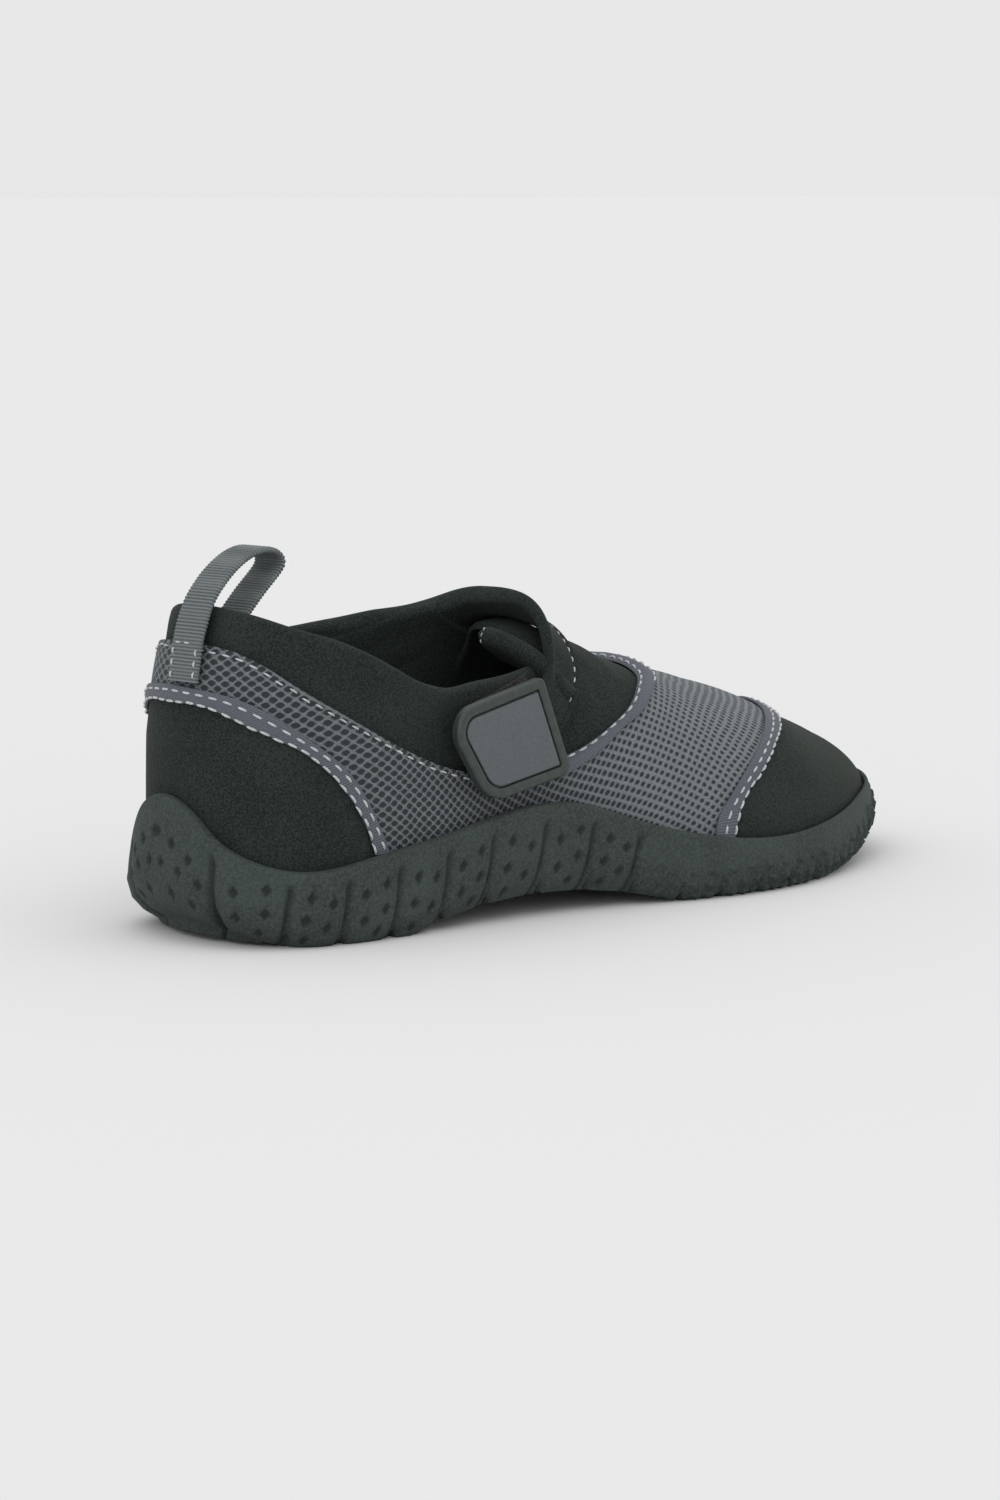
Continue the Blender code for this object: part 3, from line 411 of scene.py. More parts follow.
def middle(share):
    """Sideways swing of the sole's centre line towards the big toe."""
    return TOE_SWING * ramp(share, 0.55, 1.0)


def wrapped(turn):
    """Turn brought back between -pi and pi."""
    return (np.asarray(turn, float) + np.pi) % (2 * np.pi) - np.pi


def outline(turn):
    """Plan of the sole at its widest, from the back of the heel."""
    turn = wrapped(turn)
    outer = by_turn([(share, a * width) for share, a, b, width in OUTLINE], turn, False)
    inner = by_turn([(share, b * width) for share, a, b, width in OUTLINE], turn, False)
    half = np.where(turn < 0, -outer, inner)
    share = share_of(turn)
    return np.stack([SOLE_LENGTH * share, middle(share) + half], -1)


def inset_outline(turn, inset):
    """The sole's plan moved inwards."""
    small = 1e-3
    along = unit(outline(turn + small) - outline(turn - small))
    inward = np.stack([along[..., 1], -along[..., 0]], -1)
    return outline(turn) + inward * np.asarray(inset)[..., None]


def cup_inset(turn):
    """Distance from the sole's widest plan to the upper."""
    return CUP_WALL * by_turn(CUP, turn)


def rim_height(turn):
    """Height of the side wall's top edge."""
    return HEEL_RIM_HEIGHT * by_turn(RIM, turn)


def bottom_height(share):
    """Height of the tread's faces: flat under heel and ball, lifted at the waist, heel back and toe."""
    heel = HEEL_BEVEL * np.clip(1 - share / 0.10, 0, 1) ** 2
    toe = TOE_SPRING * np.clip((share - 0.76) / 0.24, 0, 1) ** 2
    waist = WAIST_LIFT * np.clip(1 - ((share - 0.39) / 0.17) ** 2, 0, 1)
    return heel + toe + waist


def footbed_height(share):
    """Height of the floor inside the cup sole."""
    return FOOTBED_HEIGHT + 0.8 * TOE_SPRING * np.clip((share - 0.72) / 0.28, 0, 1) ** 2


def folded(turn, lift):
    """Turn and lift on the side where a place lies: a lift over 1 runs down the other side."""
    turn, lift = np.broadcast_arrays(wrapped(turn), np.asarray(lift, float))
    return np.where(lift > 1, -turn, turn), np.where(lift > 1, 2 - lift, lift)


def upper_point(turn, lift):
    """Outer surface of the upper's panels, from the back of the heel."""
    turn, lift = folded(turn, lift)
    share = share_of(turn)
    base = inset_outline(turn, cup_inset(turn))
    ridge_x = HEEL_LEAN + (SOLE_LENGTH - TOE_BOX_SETBACK - HEEL_LEAN) * share
    ridge = np.stack([ridge_x, 0.6 * middle(share) + RIDGE_OFFSET], -1)
    front = np.clip((share - 0.35) / 0.3, 0, 1)
    spread = np.clip(np.cos(lift * np.pi / 2), 0, 1) ** (0.74 + 0.18 * front)
    spread = np.where(lift > 1 - 1e-9, 0, spread)[..., None]
    plan = between(ridge, base, spread)
    roof = INSTEP_HEIGHT * curve_through(ROOF, plan[..., 0] / SOLE_LENGTH)
    floor = footbed_height(base[..., 0] / SOLE_LENGTH)
    height = floor + (roof - floor) * np.sin(lift * np.pi / 2) ** (0.78 + 0.10 * front)
    over = np.clip((height / HEEL_COLLAR_HEIGHT - 0.62) / 0.38, 0, 1.1) ** 2
    plan = plan + np.stack([HEEL_TOP_LEAN * over * (1 - ramp(share, 0.05, 0.22)), 0 * over], -1)
    return np.concatenate([plan, height[..., None]], -1)


def upper_normal(turn, lift):
    """Outward direction of the upper's surface; the two sides are averaged at the ridge."""
    turn, lift = folded(turn, lift)
    turn = np.clip(turn, 0.02 - np.pi, np.pi - 0.02)

    def one_side(turn, lift):
        small = 4e-3
        lift = np.clip(lift, small, 0.975)
        round_it = upper_point(turn + small, lift) - upper_point(turn - small, lift)
        up_it = upper_point(turn, lift + small) - upper_point(turn, lift - small)
        return unit(np.cross(up_it, round_it))

    return unit(between(one_side(turn, lift), one_side(-turn, lift), ramp(lift, 0.90, 1.0)[..., None] / 2))


def upper_at(turn, lift, out):
    """Point at a distance outside the upper's surface."""
    return upper_point(turn, lift) + upper_normal(turn, lift) * np.asarray(out)[..., None]


def lift_at_height(turn, height):
    """Lift at which the upper's side reaches a height."""
    turn, height = np.broadcast_arrays(np.asarray(turn, float), np.asarray(height, float))
    low = np.zeros(turn.shape)
    high = np.ones(turn.shape)
    for _ in range(HALVINGS):
        half = (low + high) / 2
        under = upper_point(turn, half)[..., 2] < height
        low = np.where(under, half, low)
        high = np.where(under, high, half)
    return (low + high) / 2


def throat_sag(turn, lift):
    """How far the shell's front edge sinks under the strap."""
    share = share_of(wrapped(turn))
    across = np.where(wrapped(turn) < 0, lift, 2 - lift)
    along = ramp(share, 0.33, 0.40) * (1 - ramp(share, 0.42, 0.485))
    return THROAT_SAG * along * ramp(across, 0.45, 0.95) * (1 - ramp(across, 1.35, 1.60))


def tape_middle(table):
    """Middle line of a tape over the foot, as (share, lift) rows in rising share."""
    return sorted(((row[0] + row[2]) / 2, (row[1] + row[3]) / 2) for row in table)


def round_heel(shares):
    """Turns from the front of the outer side, round the heel, to the front of the inner side."""
    turns = turn_of(np.array(sorted(shares)))
    return np.concatenate([-turns[:0:-1], turns])


def round_toe(shares):
    """Turns from the rear of the inner side, round the toe, to the rear of the outer side."""
    turns = turn_of(np.array(sorted(shares)))
    return np.concatenate([turns, -turns[-2::-1]])


def grid_faces(rows, columns):
    """Quads of a grid of points stored row by row."""
    return [(i * columns + j, i * columns + j + 1, (i + 1) * columns + j + 1, (i + 1) * columns + j)
            for i in range(rows - 1) for j in range(columns - 1)]


def collar_lift(turn):
    """Lift of the collar line; in front of the throat it runs on over the toes."""
    share = np.minimum(share_of(turn), THROAT_SHARE)
    outer = curve_through([(row[0], row[1]) for row in COLLAR], share)
    inner = curve_through([(row[0], row[2]) for row in COLLAR], share)
    height = HEEL_COLLAR_HEIGHT * np.where(turn < 0, outer, inner)
    lift = lift_at_height(np.sign(turn) * turn_of(share), height)
    return lift + (0.55 - lift) * ramp(share_of(turn), THROAT_SHARE, 0.75)


def heel_seam(turn):
    """Lift of the seam under the heel tape."""
    rows = [((turn_of(a) + turn_of(c)) / 2, (b + d) / 2) for a, b, c, d in reversed(HEEL_TAPE)]
    height = HEEL_COLLAR_HEIGHT * np.interp(np.abs(turn), [row[0] for row in rows], [row[1] for row in rows])
    return lift_at_height(turn, height)


def panel_foot(turn):
    """Lift of a panel's lower edge, hidden a little way down inside the sole's cup."""
    foot_x = inset_outline(turn, cup_inset(turn))[:, 0]
    low = np.maximum(footbed_height(foot_x / SOLE_LENGTH) + 2 * CLEARANCE, rim_height(turn) - PANEL_TUCK)
    return lift_at_height(turn, low)


def mesh_top(turn):
    """Lift of the mesh panel's upper edge: below the collar, then under the vamp tape to the ridge."""
    share = share_of(turn)
    rear = HEEL_COLLAR_HEIGHT * curve_through(MESH_EDGE, share)
    rear_lift = lift_at_height(turn, rear)
    seam = tape_middle(VAMP_TAPE)
    front_lift = np.interp(share, [row[0] for row in seam], [row[1] for row in seam])
    return np.where(share < seam[0][0], rear_lift, front_lift)


def rounded_outline(corners, inset, arc_points):
    """Closed outline with round corners, moved inwards by the inset, as (along, up) points."""
    places = np.array([corner[:2] for corner in corners])
    sides = np.roll(places, -1, 0) - places
    outward = unit(np.stack([sides[:, 1], -sides[:, 0]], -1))
    points = []
    for corner, before, after in zip(corners, np.roll(outward, 1, 0), outward):
        radius = max(corner[2] - inset, BADGE_LEAST_RADIUS)
        centre = corner[:2] - (before + after) * (radius + inset) / (1 + before @ after)
        for t in np.linspace(0, 1, arc_points):
            direction = before * (1 - t) + after * t
            points.append(centre + direction * radius / np.linalg.norm(direction))
    return np.array(points)


def badge_frame():
    """Centre of the badge's back on the outer side, with its along, up and out directions."""
    turn = -turn_of(BADGE_CENTRE_SHARE)
    lift = lift_at_height(turn, BADGE_CENTRE_HEIGHT)
    out = upper_normal(turn, lift)
    along = np.array([-out[1], out[0], 0]) / np.hypot(out[0], out[1])
    up = np.cross(out, along)
    stack = STRAP_CLEARANCE + STRAP_THICKNESS + 2 * CLEARANCE
    return upper_point(turn, lift) + out * stack, along, up, out


def length_per_lift(turn, lift):
    """Metres of surface for each unit of lift."""
    small = 0.004
    lift = np.clip(lift, small, 2 - small)
    step = upper_point(turn, lift + small) - upper_point(turn, lift - small)
    return np.linalg.norm(step, axis=-1) / (2 * small)


def crease(turn, lift):
    """Soft troughs and ridges of the worn-in upper, in metres outwards."""
    turn = wrapped(turn)
    share = share_of(turn)
    across = np.where(turn < 0, lift, 2 - lift)
    total = np.zeros(np.broadcast(share, across).shape)
    for at_share, at_lift, long, wide, slant, depth in CREASES:
        along = (share - at_share) / wide
        over = (across - at_lift) / long
        total = total + depth * np.exp(-(along + slant * over) ** 2 - over ** 2)
    return total


def skin(turn, lift, out):
    """Point outside the upper's surface, with the creases."""
    return upper_at(turn, lift, np.asarray(out) + crease(turn, lift))


def mesh_object(name, points, faces, look, uv=None, shade=None, smooth=40, close=False):
    """Smooth mesh, placed from the heel's back to the frame's origin, riding on the shoe's body."""
    mesh = bpy.data.meshes.new(name)
    placed = np.asarray(points, float).reshape(-1, 3) - (HEEL_SEAT, 0, 0)
    mesh.from_pydata(placed.tolist(), [], faces)
    if uv is not None:
        corner = np.zeros(len(mesh.loops), np.int32)
        mesh.loops.foreach_get("vertex_index", corner)
        layer = mesh.uv_layers.new(name="millimetres")
        layer.data.foreach_set("uv", np.asarray(uv, np.float32).reshape(-1, 2)[corner].ravel())
    # Values per point: for the sole, painted shade in its recesses; for the mesh panel, how much wider its
    # holes are at the rear.
    if shade is not None:
        layer = mesh.attributes.new("painted_shade_and_hole_size", "FLOAT", "POINT")
        layer.data.foreach_set("value", np.asarray(shade, np.float32).ravel())
    shape = bmesh.new()
    shape.from_mesh(mesh)
    bmesh.ops.remove_doubles(shape, verts=shape.verts, dist=2e-6)
    bmesh.ops.dissolve_degenerate(shape, dist=1e-7, edges=shape.edges)
    if close:
        rims = [edge for edge in shape.edges if edge.is_boundary]
        bmesh.ops.holes_fill(shape, edges=rims, sides=0)
    bmesh.ops.recalc_face_normals(shape, faces=shape.faces)
    shape.to_mesh(mesh)
    shape.free()
    mesh.shade_smooth()
    mesh.set_sharp_from_angle(angle=np.radians(smooth))
    mesh.materials.append(look)
    thing = bpy.data.objects.new(name, mesh)
    bpy.context.scene.collection.objects.link(thing)
    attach(thing, "root")
    return thing


def closed_grid(rows, columns):
    """Quads of a grid whose last column joins its first."""
    return [(i * columns + j, i * columns + (j + 1) % columns,
             (i + 1) * columns + (j + 1) % columns, (i + 1) * columns + j)
            for i in range(rows - 1) for j in range(columns)]


def outwards(thing):
    """Turns an open sheet's faces away from the middle of the shoe."""
    inside = np.array([SOLE_LENGTH * 0.45 - HEEL_SEAT, 0, FOOTBED_HEIGHT])
    score = sum(np.dot(face.normal, np.array(face.center) - inside) * face.area
                for face in thing.data.polygons)
    if score < 0:
        thing.data.flip_normals()


def sheet_of(name, points, look, uv=None, shade=None):
    """Fabric sheet with its outer face on the given grid."""
    thing = mesh_object(name, points, grid_faces(*points.shape[:2]), look, uv, shade)
    outwards(thing)
    wall = thing.modifiers.new("wall", "SOLIDIFY")
    wall.thickness = PANEL_THICKNESS
    wall.offset = -1
    return thing


def band_section(width, thickness, crown=0.0):
    """Closed section of a band as (blend across, height) rows, with round edges."""
    radius = thickness / 2
    edge = radius / width
    flat = np.linspace(0, 1, 8)
    rows = [(edge + (1 - 2 * edge) * t, 0.0) for t in flat]
    for turn in np.linspace(-np.pi / 2, np.pi / 2, 6)[1:-1]:
        rows.append((1 - edge + edge * np.cos(turn), radius + radius * np.sin(turn)))
    for t in flat[::-1]:
        rows.append((edge + (1 - 2 * edge) * t, thickness + crown * (1 - (2 * t - 1) ** 2)))
    for turn in np.linspace(np.pi / 2, 3 * np.pi / 2, 6)[1:-1]:
        rows.append((edge + edge * np.cos(turn), radius + radius * np.sin(turn)))
    return rows


def lengths_along(points):
    """Distance along a line of points."""
    step = np.linalg.norm(np.diff(points, axis=0), axis=-1)
    return np.concatenate([[0], np.cumsum(step)])


def swept_band(name, stations, section, place, look):
    """Band swept through stations: place(station, blend, height) gives a row of points per section row."""
    columns = [place(stations, np.full(len(stations), blend), np.full(len(stations), height))
               for blend, height in section]
    points = np.stack(columns, 1)
    along = lengths_along(points[:, 0]) * 1000
    around = lengths_along(points[len(points) // 2]) * 1000
    uv = np.stack(np.broadcast_arrays(along[:, None], around[None, :]), -1)
    return mesh_object(name, points, closed_grid(*points.shape[:2]), look, uv, close=True)


def stitches(name, lines, look):
    """Raised stitches along lines of (points, normals), joined into one mesh."""
    length, gap, radius, wander, seed = STITCHES[name]
    random = np.random.default_rng(seed)
    rings = 6
    sides = 7
    round_it = np.linspace(0, 2 * np.pi, sides, endpoint=False)
    points = []
    faces = []
    for line, normals in lines:
        far = lengths_along(line)
        count = int(far[-1] / (length + gap))
        for k in range(count):
            start = (k + 0.5) * (length + gap) - length / 2 + random.normal() * wander
            at = start + np.linspace(0, 1, rings) * length
            centre = np.stack([np.interp(at, far, line[:, axis]) for axis in range(3)], -1)
            up = np.stack([np.interp(at, far, normals[:, axis]) for axis in range(3)], -1)
            side = unit(np.cross(up, unit(np.gradient(centre, axis=0))))
            arch = np.sin(np.linspace(0, 1, rings) * np.pi)
            thick = radius * (0.35 + 0.65 * np.sqrt(arch)) * (1 + random.normal() * wander * 200)
            middle_line = centre + up * (radius * (1.5 * np.sqrt(arch) - 0.6))[:, None]
            middle_line = middle_line + side * (random.normal() * wander)
            first = len(points)
            for ring in range(rings):
                offset = np.cos(round_it)[:, None] * side[ring] + np.sin(round_it)[:, None] * up[ring]
                points.extend(middle_line[ring] + offset * thick[ring])
            faces.extend(tuple(first + corner for corner in face) for face in closed_grid(rings, sides))
            faces.append(tuple(first + j for j in range(sides)))
            faces.append(tuple(first + (rings - 1) * sides + j for j in range(sides)))
    return mesh_object(name, points, faces, look, smooth=60)


def node(tree, kind, settings=(), **inputs):
    """Shader node with its settings, and its inputs set or linked; returns its first output."""
    made = tree.nodes.new(kind)
    for key, value in dict(settings).items():
        setattr(made, key, value)
    for key, value in inputs.items():
        socket = made.inputs[int(key[1:])] if key[1:].isdigit() else made.inputs[key.replace("_", " ")]
        if isinstance(value, bpy.types.NodeSocket):
            tree.links.new(value, socket)
        else:
            socket.default_value = value
    return made.outputs[0]


def calc(tree, operation, first, second=0.0):
    """Math node."""
    return node(tree, "ShaderNodeMath", {"operation": operation}, i0=first, i1=second)


def smooth_step(tree, value, low, high, out_low=0.0, out_high=1.0):
    """Smooth step from one value to another."""
    return node(tree, "ShaderNodeMapRange", {"interpolation_type": "SMOOTHSTEP"},
                i0=value, i1=low, i2=high, i3=out_low, i4=out_high)


def mixed(tree, factor, first, second):
    """Colour between two colours."""
    return node(tree, "ShaderNodeMix", {"data_type": "RGBA"}, i0=factor, i6=first, i7=second).node.outputs[2]


def linear(colour):
    """Linear colour from screen values."""
    return (*[(value / 255) ** 2.2 for value in colour], 1.0)


def noise(tree, where, scale, detail=2.0, roughness=0.5):
    """Noise value at a position in metres."""
    return node(tree, "ShaderNodeTexNoise", Vector=where, Scale=scale, Detail=detail, Roughness=roughness)


def shade_with(tree, shader, colour, *bumps):
    """Gives a shader its colour and its bumps, each a height, its depth in metres and its strength."""
    below = {}
    for height, depth, strength in bumps:
        made = node(tree, "ShaderNodeBump", Strength=strength, Distance=depth, Height=height, **below)
        below = {"Normal": made}
    tree.links.new(colour, shader.inputs["Base Color"])
    tree.links.new(made, shader.inputs["Normal"])


def fabric_axes(tree):
    """Fabric coordinates in millimetres: along and across."""
    flat = tree.nodes.new("ShaderNodeUVMap")
    flat.uv_map = "millimetres"
    parts = tree.nodes.new("ShaderNodeSeparateXYZ")
    tree.links.new(flat.outputs[0], parts.inputs[0])
    return parts.outputs


def painted_shade_and_hole_size_attribute(tree):
    """The mesh's own value between 0 and 1: painted shade in the sole's recesses, and how much wider the holes
    are at the mesh panel's rear.
    """
    return node(tree, "ShaderNodeAttribute", {"attribute_name": "painted_shade_and_hole_size"}).node.outputs["Fac"]


def look_of(name, roughness, sheen=0.0, tint=(1, 1, 1), coat=0.0, gloss=0.5):
    """New material: its tree, its shader and the place in metres."""
    look = bpy.data.materials.new(name)
    look.use_nodes = True
    tree = look.node_tree
    shader = tree.nodes["Principled BSDF"]
    for socket, value in (("Roughness", roughness), ("Specular IOR Level", gloss), ("Sheen Weight", sheen),
                          ("Sheen Roughness", 0.5), ("Sheen Tint", (*tint, 1)), ("Coat Weight", coat),
                          ("Coat Roughness", 0.35)):
        shader.inputs[socket].default_value = value
    return look, tree, shader, tree.nodes.new("ShaderNodeTexCoord").outputs["Object"]


def neoprene_look(name, low, high):
    """Matt jersey on neoprene: a fine knit grain and a faint uneven tone."""
    look, tree, shader, place = look_of(name, 0.95, 0.03, (0.85, 0.95, 0.80), 0.0, 0.22)
    fine = noise(tree, place, 2600, 1.5, 0.6)
    broad = noise(tree, place, 45, 3.0)
    tone = calc(tree, "ADD", calc(tree, "MULTIPLY", fine, 0.75), calc(tree, "MULTIPLY", broad, 0.25))
    colour = mixed(tree, smooth_step(tree, tone, 0.38, 0.62), linear(low), linear(high))
    knit = node(tree, "ShaderNodeTexVoronoi", Vector=place, Scale=1900.0)
    shade_with(tree, shader, colour, (knit, 0.00014, 0.7), (broad, 0.0005, 0.5))
    return look


def foam_look():
    """Blown rubber of the sole: dull, speckled and finely pitted, with painted shade in its grooves, dimples
    and channels.
    """
    look, tree, shader, place = look_of("sole foam", 0.86)
    grain = noise(tree, place, 1700, 3.0, 0.75)
    cloud = noise(tree, place, 60, 4.0, 0.6)
    colour = mixed(tree, smooth_step(tree, grain, 0.38, 0.66), linear(SOLE_DARK), linear(SOLE_LIGHT))
    colour = mixed(tree, smooth_step(tree, cloud, 0.40, 0.66, 0.0, 0.30), colour, linear(SOLE_PALE))
    # Painted shade in the grooves, dimples and channels.
    colour = mixed(tree, painted_shade_and_hole_size_attribute(tree), colour, linear(SOLE_PAINTED_SHADE))
    pits = node(tree, "ShaderNodeTexVoronoi", Vector=place, Scale=900.0)
    shade_with(tree, shader, colour, (grain, 0.00022, 0.8), (pits, 0.00010, 0.6))
    return look


def mesh_look():
    """Knitted mesh: staggered oval holes over a dark ground, with rounded yarn between them and a painted
    highlight on the yarn's crowns.
    """
    look, tree, shader, place = look_of("mesh fabric", 0.78, 0.10, (0.9, 0.95, 1.0))
    axes = fabric_axes(tree)
    wobble = calc(tree, "MULTIPLY", noise(tree, place, 160.0, 1.0), 0.30)
    nearness = []
    for axis, pitch in ((0, HOLE_PITCH_ALONG), (1, HOLE_PITCH_ACROSS)):
        value = calc(tree, "ADD", calc(tree, "DIVIDE", axes[axis], pitch * 1000), wobble)
        value = calc(tree, "SUBTRACT", calc(tree, "FRACT", value), 0.5)
        nearness.append(calc(tree, "ABSOLUTE", value))
    both = []
    for shift in (False, True):
        terms = []
        for value, size in zip(nearness, (HOLE_SHARE_ALONG, HOLE_SHARE_ACROSS)):
            if shift:
                value = calc(tree, "SUBTRACT", 0.5, value)
            terms.append(calc(tree, "POWER", calc(tree, "DIVIDE", value, size), 1.5))
        both.append(calc(tree, "ADD", *terms))
    away = calc(tree, "MINIMUM", *both)
    wide = calc(tree, "ADD", calc(tree, "MULTIPLY", painted_shade_and_hole_size_attribute(tree), 0.75), 1.0)
    away = calc(tree, "DIVIDE", away, wide)
    yarn = noise(tree, place, 2200, 2.0, 0.7)
    solid = smooth_step(tree, away, 0.62, 1.25)
    crown = smooth_step(tree, away, 1.0, 2.6)
    thread = mixed(tree, smooth_step(tree, yarn, 0.35, 0.65), linear(MESH_DARK), linear(MESH_LIGHT))
    # Painted highlight on the yarn's crowns.
    thread = mixed(tree, calc(tree, "MULTIPLY", crown, 0.35), thread, linear(MESH_PAINTED_HIGHLIGHT))
    colour = mixed(tree, solid, linear(MESH_HOLE), thread)
    shade_with(tree, shader, colour, (solid, 0.00040, 0.9), (crown, 0.00015, 0.7), (yarn, 0.00010, 0.7))
    return look


def ribbed_look(name, low, high, pitch, depth):
    """Woven tape: ribs across it, and a fine yarn grain."""
    look, tree, shader, place = look_of(name, 0.8, 0.08, (0.9, 0.95, 1.0))
    wave = calc(tree, "SINE", calc(tree, "DIVIDE", fabric_axes(tree)[0], pitch * 1000 / (2 * np.pi)))
    rib = calc(tree, "ADD", calc(tree, "MULTIPLY", wave, 0.5), 0.5)
    yarn = noise(tree, place, 1900, 2.0, 0.6)
    tone = calc(tree, "ADD", calc(tree, "MULTIPLY", rib, 0.5), calc(tree, "MULTIPLY", yarn, 0.5))
    colour = mixed(tree, smooth_step(tree, tone, 0.25, 0.75), linear(low), linear(high))
    shade_with(tree, shader, colour, (rib, depth, 0.8), (yarn, 0.00008, 0.6))
    return look


def plain_look(name, low, high, roughness, grain_scale, grain_depth, coat=0.0, sheen=0.0):
    """Moulded or spun piece with a fine grain."""
    look, tree, shader, place = look_of(name, roughness, sheen, (1, 1, 1), coat)
    grain = noise(tree, place, grain_scale, 3.0, 0.6)
    colour = mixed(tree, smooth_step(tree, grain, 0.35, 0.65), linear(low), linear(high))
    shade_with(tree, shader, colour, (grain, grain_depth, 0.8))
    return look


def groove_relief(share, arc, climb, arcs):
    """Level along the side, depth of the side's grooves there, and the painted shade in the grooves at each
    place.
    """
    upright = HEEL_UPRIGHT * GROOVE_SLANT * ramp(share, 0.05, 0.12) * (1 - ramp(share, 0.20, 0.40))
    level = arc + upright * (climb - 0.5)
    depth = np.zeros(share.shape)
    painted_shade_and_hole_size = np.zeros(share.shape)
    fade = 1 - ramp(climb, 0.74, 0.92)
    for centre in arcs:
        away = (level - centre) / GROOVE_WIDTH
        depth += GROOVE_DEPTH * np.exp(-(away / 0.42) ** 2) * fade
        depth += GROOVE_DEPTH * 0.40 * np.exp(-(away / 1.9) ** 2) * fade
        # Painted shade along the middle of each groove.
        painted_shade_and_hole_size = np.maximum(painted_shade_and_hole_size, 0.65 * np.exp(-(away / 0.26) ** 2) * fade)
    return level, depth, painted_shade_and_hole_size


def diamond(along, up, half_along, half_up):
    """1 inside a diamond, falling off smoothly over its edge."""
    away = np.abs(along) / half_along + np.abs(up) / half_up
    return 1 - ramp(away, 0.72, 1.12)


def sole_rim(turn):
    """Height of the sole's rim, a little lower at the tip of the toe."""
    return rim_height(turn) - TOE_RIM_DROP * ramp(share_of(turn), 0.88, 0.98)


def cut_by(away):
    """How deep a channel cuts, from 0 to 1, at a distance from its middle line."""
    return np.clip((GROOVE_WIDTH / 2 - away) / CUT_SLOPE, 0, 1)


def cross_cut(place):
    """How deep the grooves and cross channels cut at places along the sole."""
    lines = np.array(SIDE_GROOVES + TREAD_CHANNELS)
    return cut_by(np.abs(place[..., None] - lines) * SOLE_LENGTH).max(-1)


def dimple_pits(level, up, tall, arc, arcs):
    """How deep the dimples are, from 0 to 1, panel by panel between the grooves."""
    pits = np.zeros(len(level))
    bounds = [-arcs[0], *arcs]
    for k, (first, last) in enumerate(zip(bounds, bounds[1:])):
        panel_tall = np.interp((first + last) / 2, arc, tall)
        spots = HEEL_DIMPLES
        if k > 0:
            spots = [(first + (last - first) * a, u) for a, u in DIMPLES[k % len(DIMPLES)]]
        for along, share_up in spots:
            spot = diamond(level - along, up - share_up * panel_tall, DIMPLE_HALF_ALONG, DIMPLE_HALF_UP)
            pits = np.maximum(pits, spot)
    return pits


def lip_rows(turn, lip_outer):
    """Rows of points over the sole's lip and down its inside to the footbed."""
    lip_inner = cup_inset(turn) - CLEARANCE - LIP_GAP
    radius = (lip_inner - lip_outer) / 2
    rim = sole_rim(turn)
    rows = []
    for angle in np.linspace(0, np.pi, 9)[1:]:
        plan = inset_outline(turn, lip_outer + radius * (1 - np.cos(angle)))
        rows.append(np.column_stack([plan, rim + LIP_RISE * np.sin(angle)]))
    plan = inset_outline(turn, lip_inner)
    floor = footbed_height(plan[:, 0] / SOLE_LENGTH)
    rows.extend(np.column_stack([plan, between(rim, floor, sink)]) for sink in (0.3, 0.65, 1.0))
    return rows


def sole_side(side, turns):
    """Points of one side's wall with its relief, from the tread over the lip to the footbed, and its painted
    shade.
    """
    share = share_of(turns)
    fine = np.linspace(0, np.pi, 2001)
    fine_arc = lengths_along(outline(side * fine))
    arc = np.interp(turns, fine, fine_arc)
    arcs = np.interp(turn_of(np.array(SIDE_GROOVES)), fine, fine_arc)
    heel = np.clip(1 - share / 0.12, 0, 1)
    edge_round = SOLE_EDGE_ROUND + HEEL_EDGE_ROUND * heel
    wall_lean = SIDE_WALL_LEAN + (HEEL_WALL_LEAN - SIDE_WALL_LEAN) * heel
    slant = GROOVE_SLANT / SOLE_LENGTH * ramp(share, 0.0, 0.12) * (1 - ramp(share, 0.50, 0.62))
    levels, rounds, leans = zip(*SIDE)
    rows = []
    painted_shades = []
    for climb in np.linspace(0, 1, SOLE_ROWS):
        place = np.clip(share + slant * (climb - 0.5), 0, 1)
        turn = side * turn_of(place)
        low = bottom_height(place) + LUG_DEPTH * cross_cut(place)
        tall = sole_rim(turn) - low
        up = tall * climb
        level, depth, painted_shade_and_hole_size = groove_relief(share, arc, climb, arcs)
        pits = dimple_pits(level, up, tall, arc, arcs)
        bumps = np.zeros(len(share))
        for at_arc, at_up, half, relief in forefoot_bumps(arcs[-1], arc[-1]):
            bumps = np.maximum(bumps, relief * diamond(arc - at_arc, up - at_up, half, half))
        inset = edge_round * np.interp(climb, levels, rounds) + wall_lean * np.interp(climb, levels, leans)
        plan = inset_outline(turn, inset + depth + DIMPLE_DEPTH * pits - bumps)
        rows.append(np.column_stack([plan, low + up]))
        # Painted shade in the grooves and dimples.
        painted_shades.append(np.maximum(painted_shade_and_hole_size, RECESS_PAINTED_SHADE * pits))
    over_lip = lip_rows(side * turn_of(np.clip(share + slant / 2, 0, 1)), wall_lean)
    painted_shades.extend([np.zeros(len(share))] * len(over_lip))
    return np.stack(rows + over_lip, 1), np.stack(painted_shades, 1)


def forefoot_bumps(start, end):
    """Places of the raised diamonds round the forefoot: arc, height, half size and relief."""
    spots = []
    for row, (up, half, tall, pitch) in enumerate(FOREFOOT_BUMPS):
        at = start + 0.004 + pitch * 0.5 * (row % 2)
        while at < end + 0.001:
            grow = float(ramp(at - start, 0.0, 0.030))
            spots.append((at, up, half, tall * (0.45 + 0.55 * grow)))
            at += pitch
    return spots


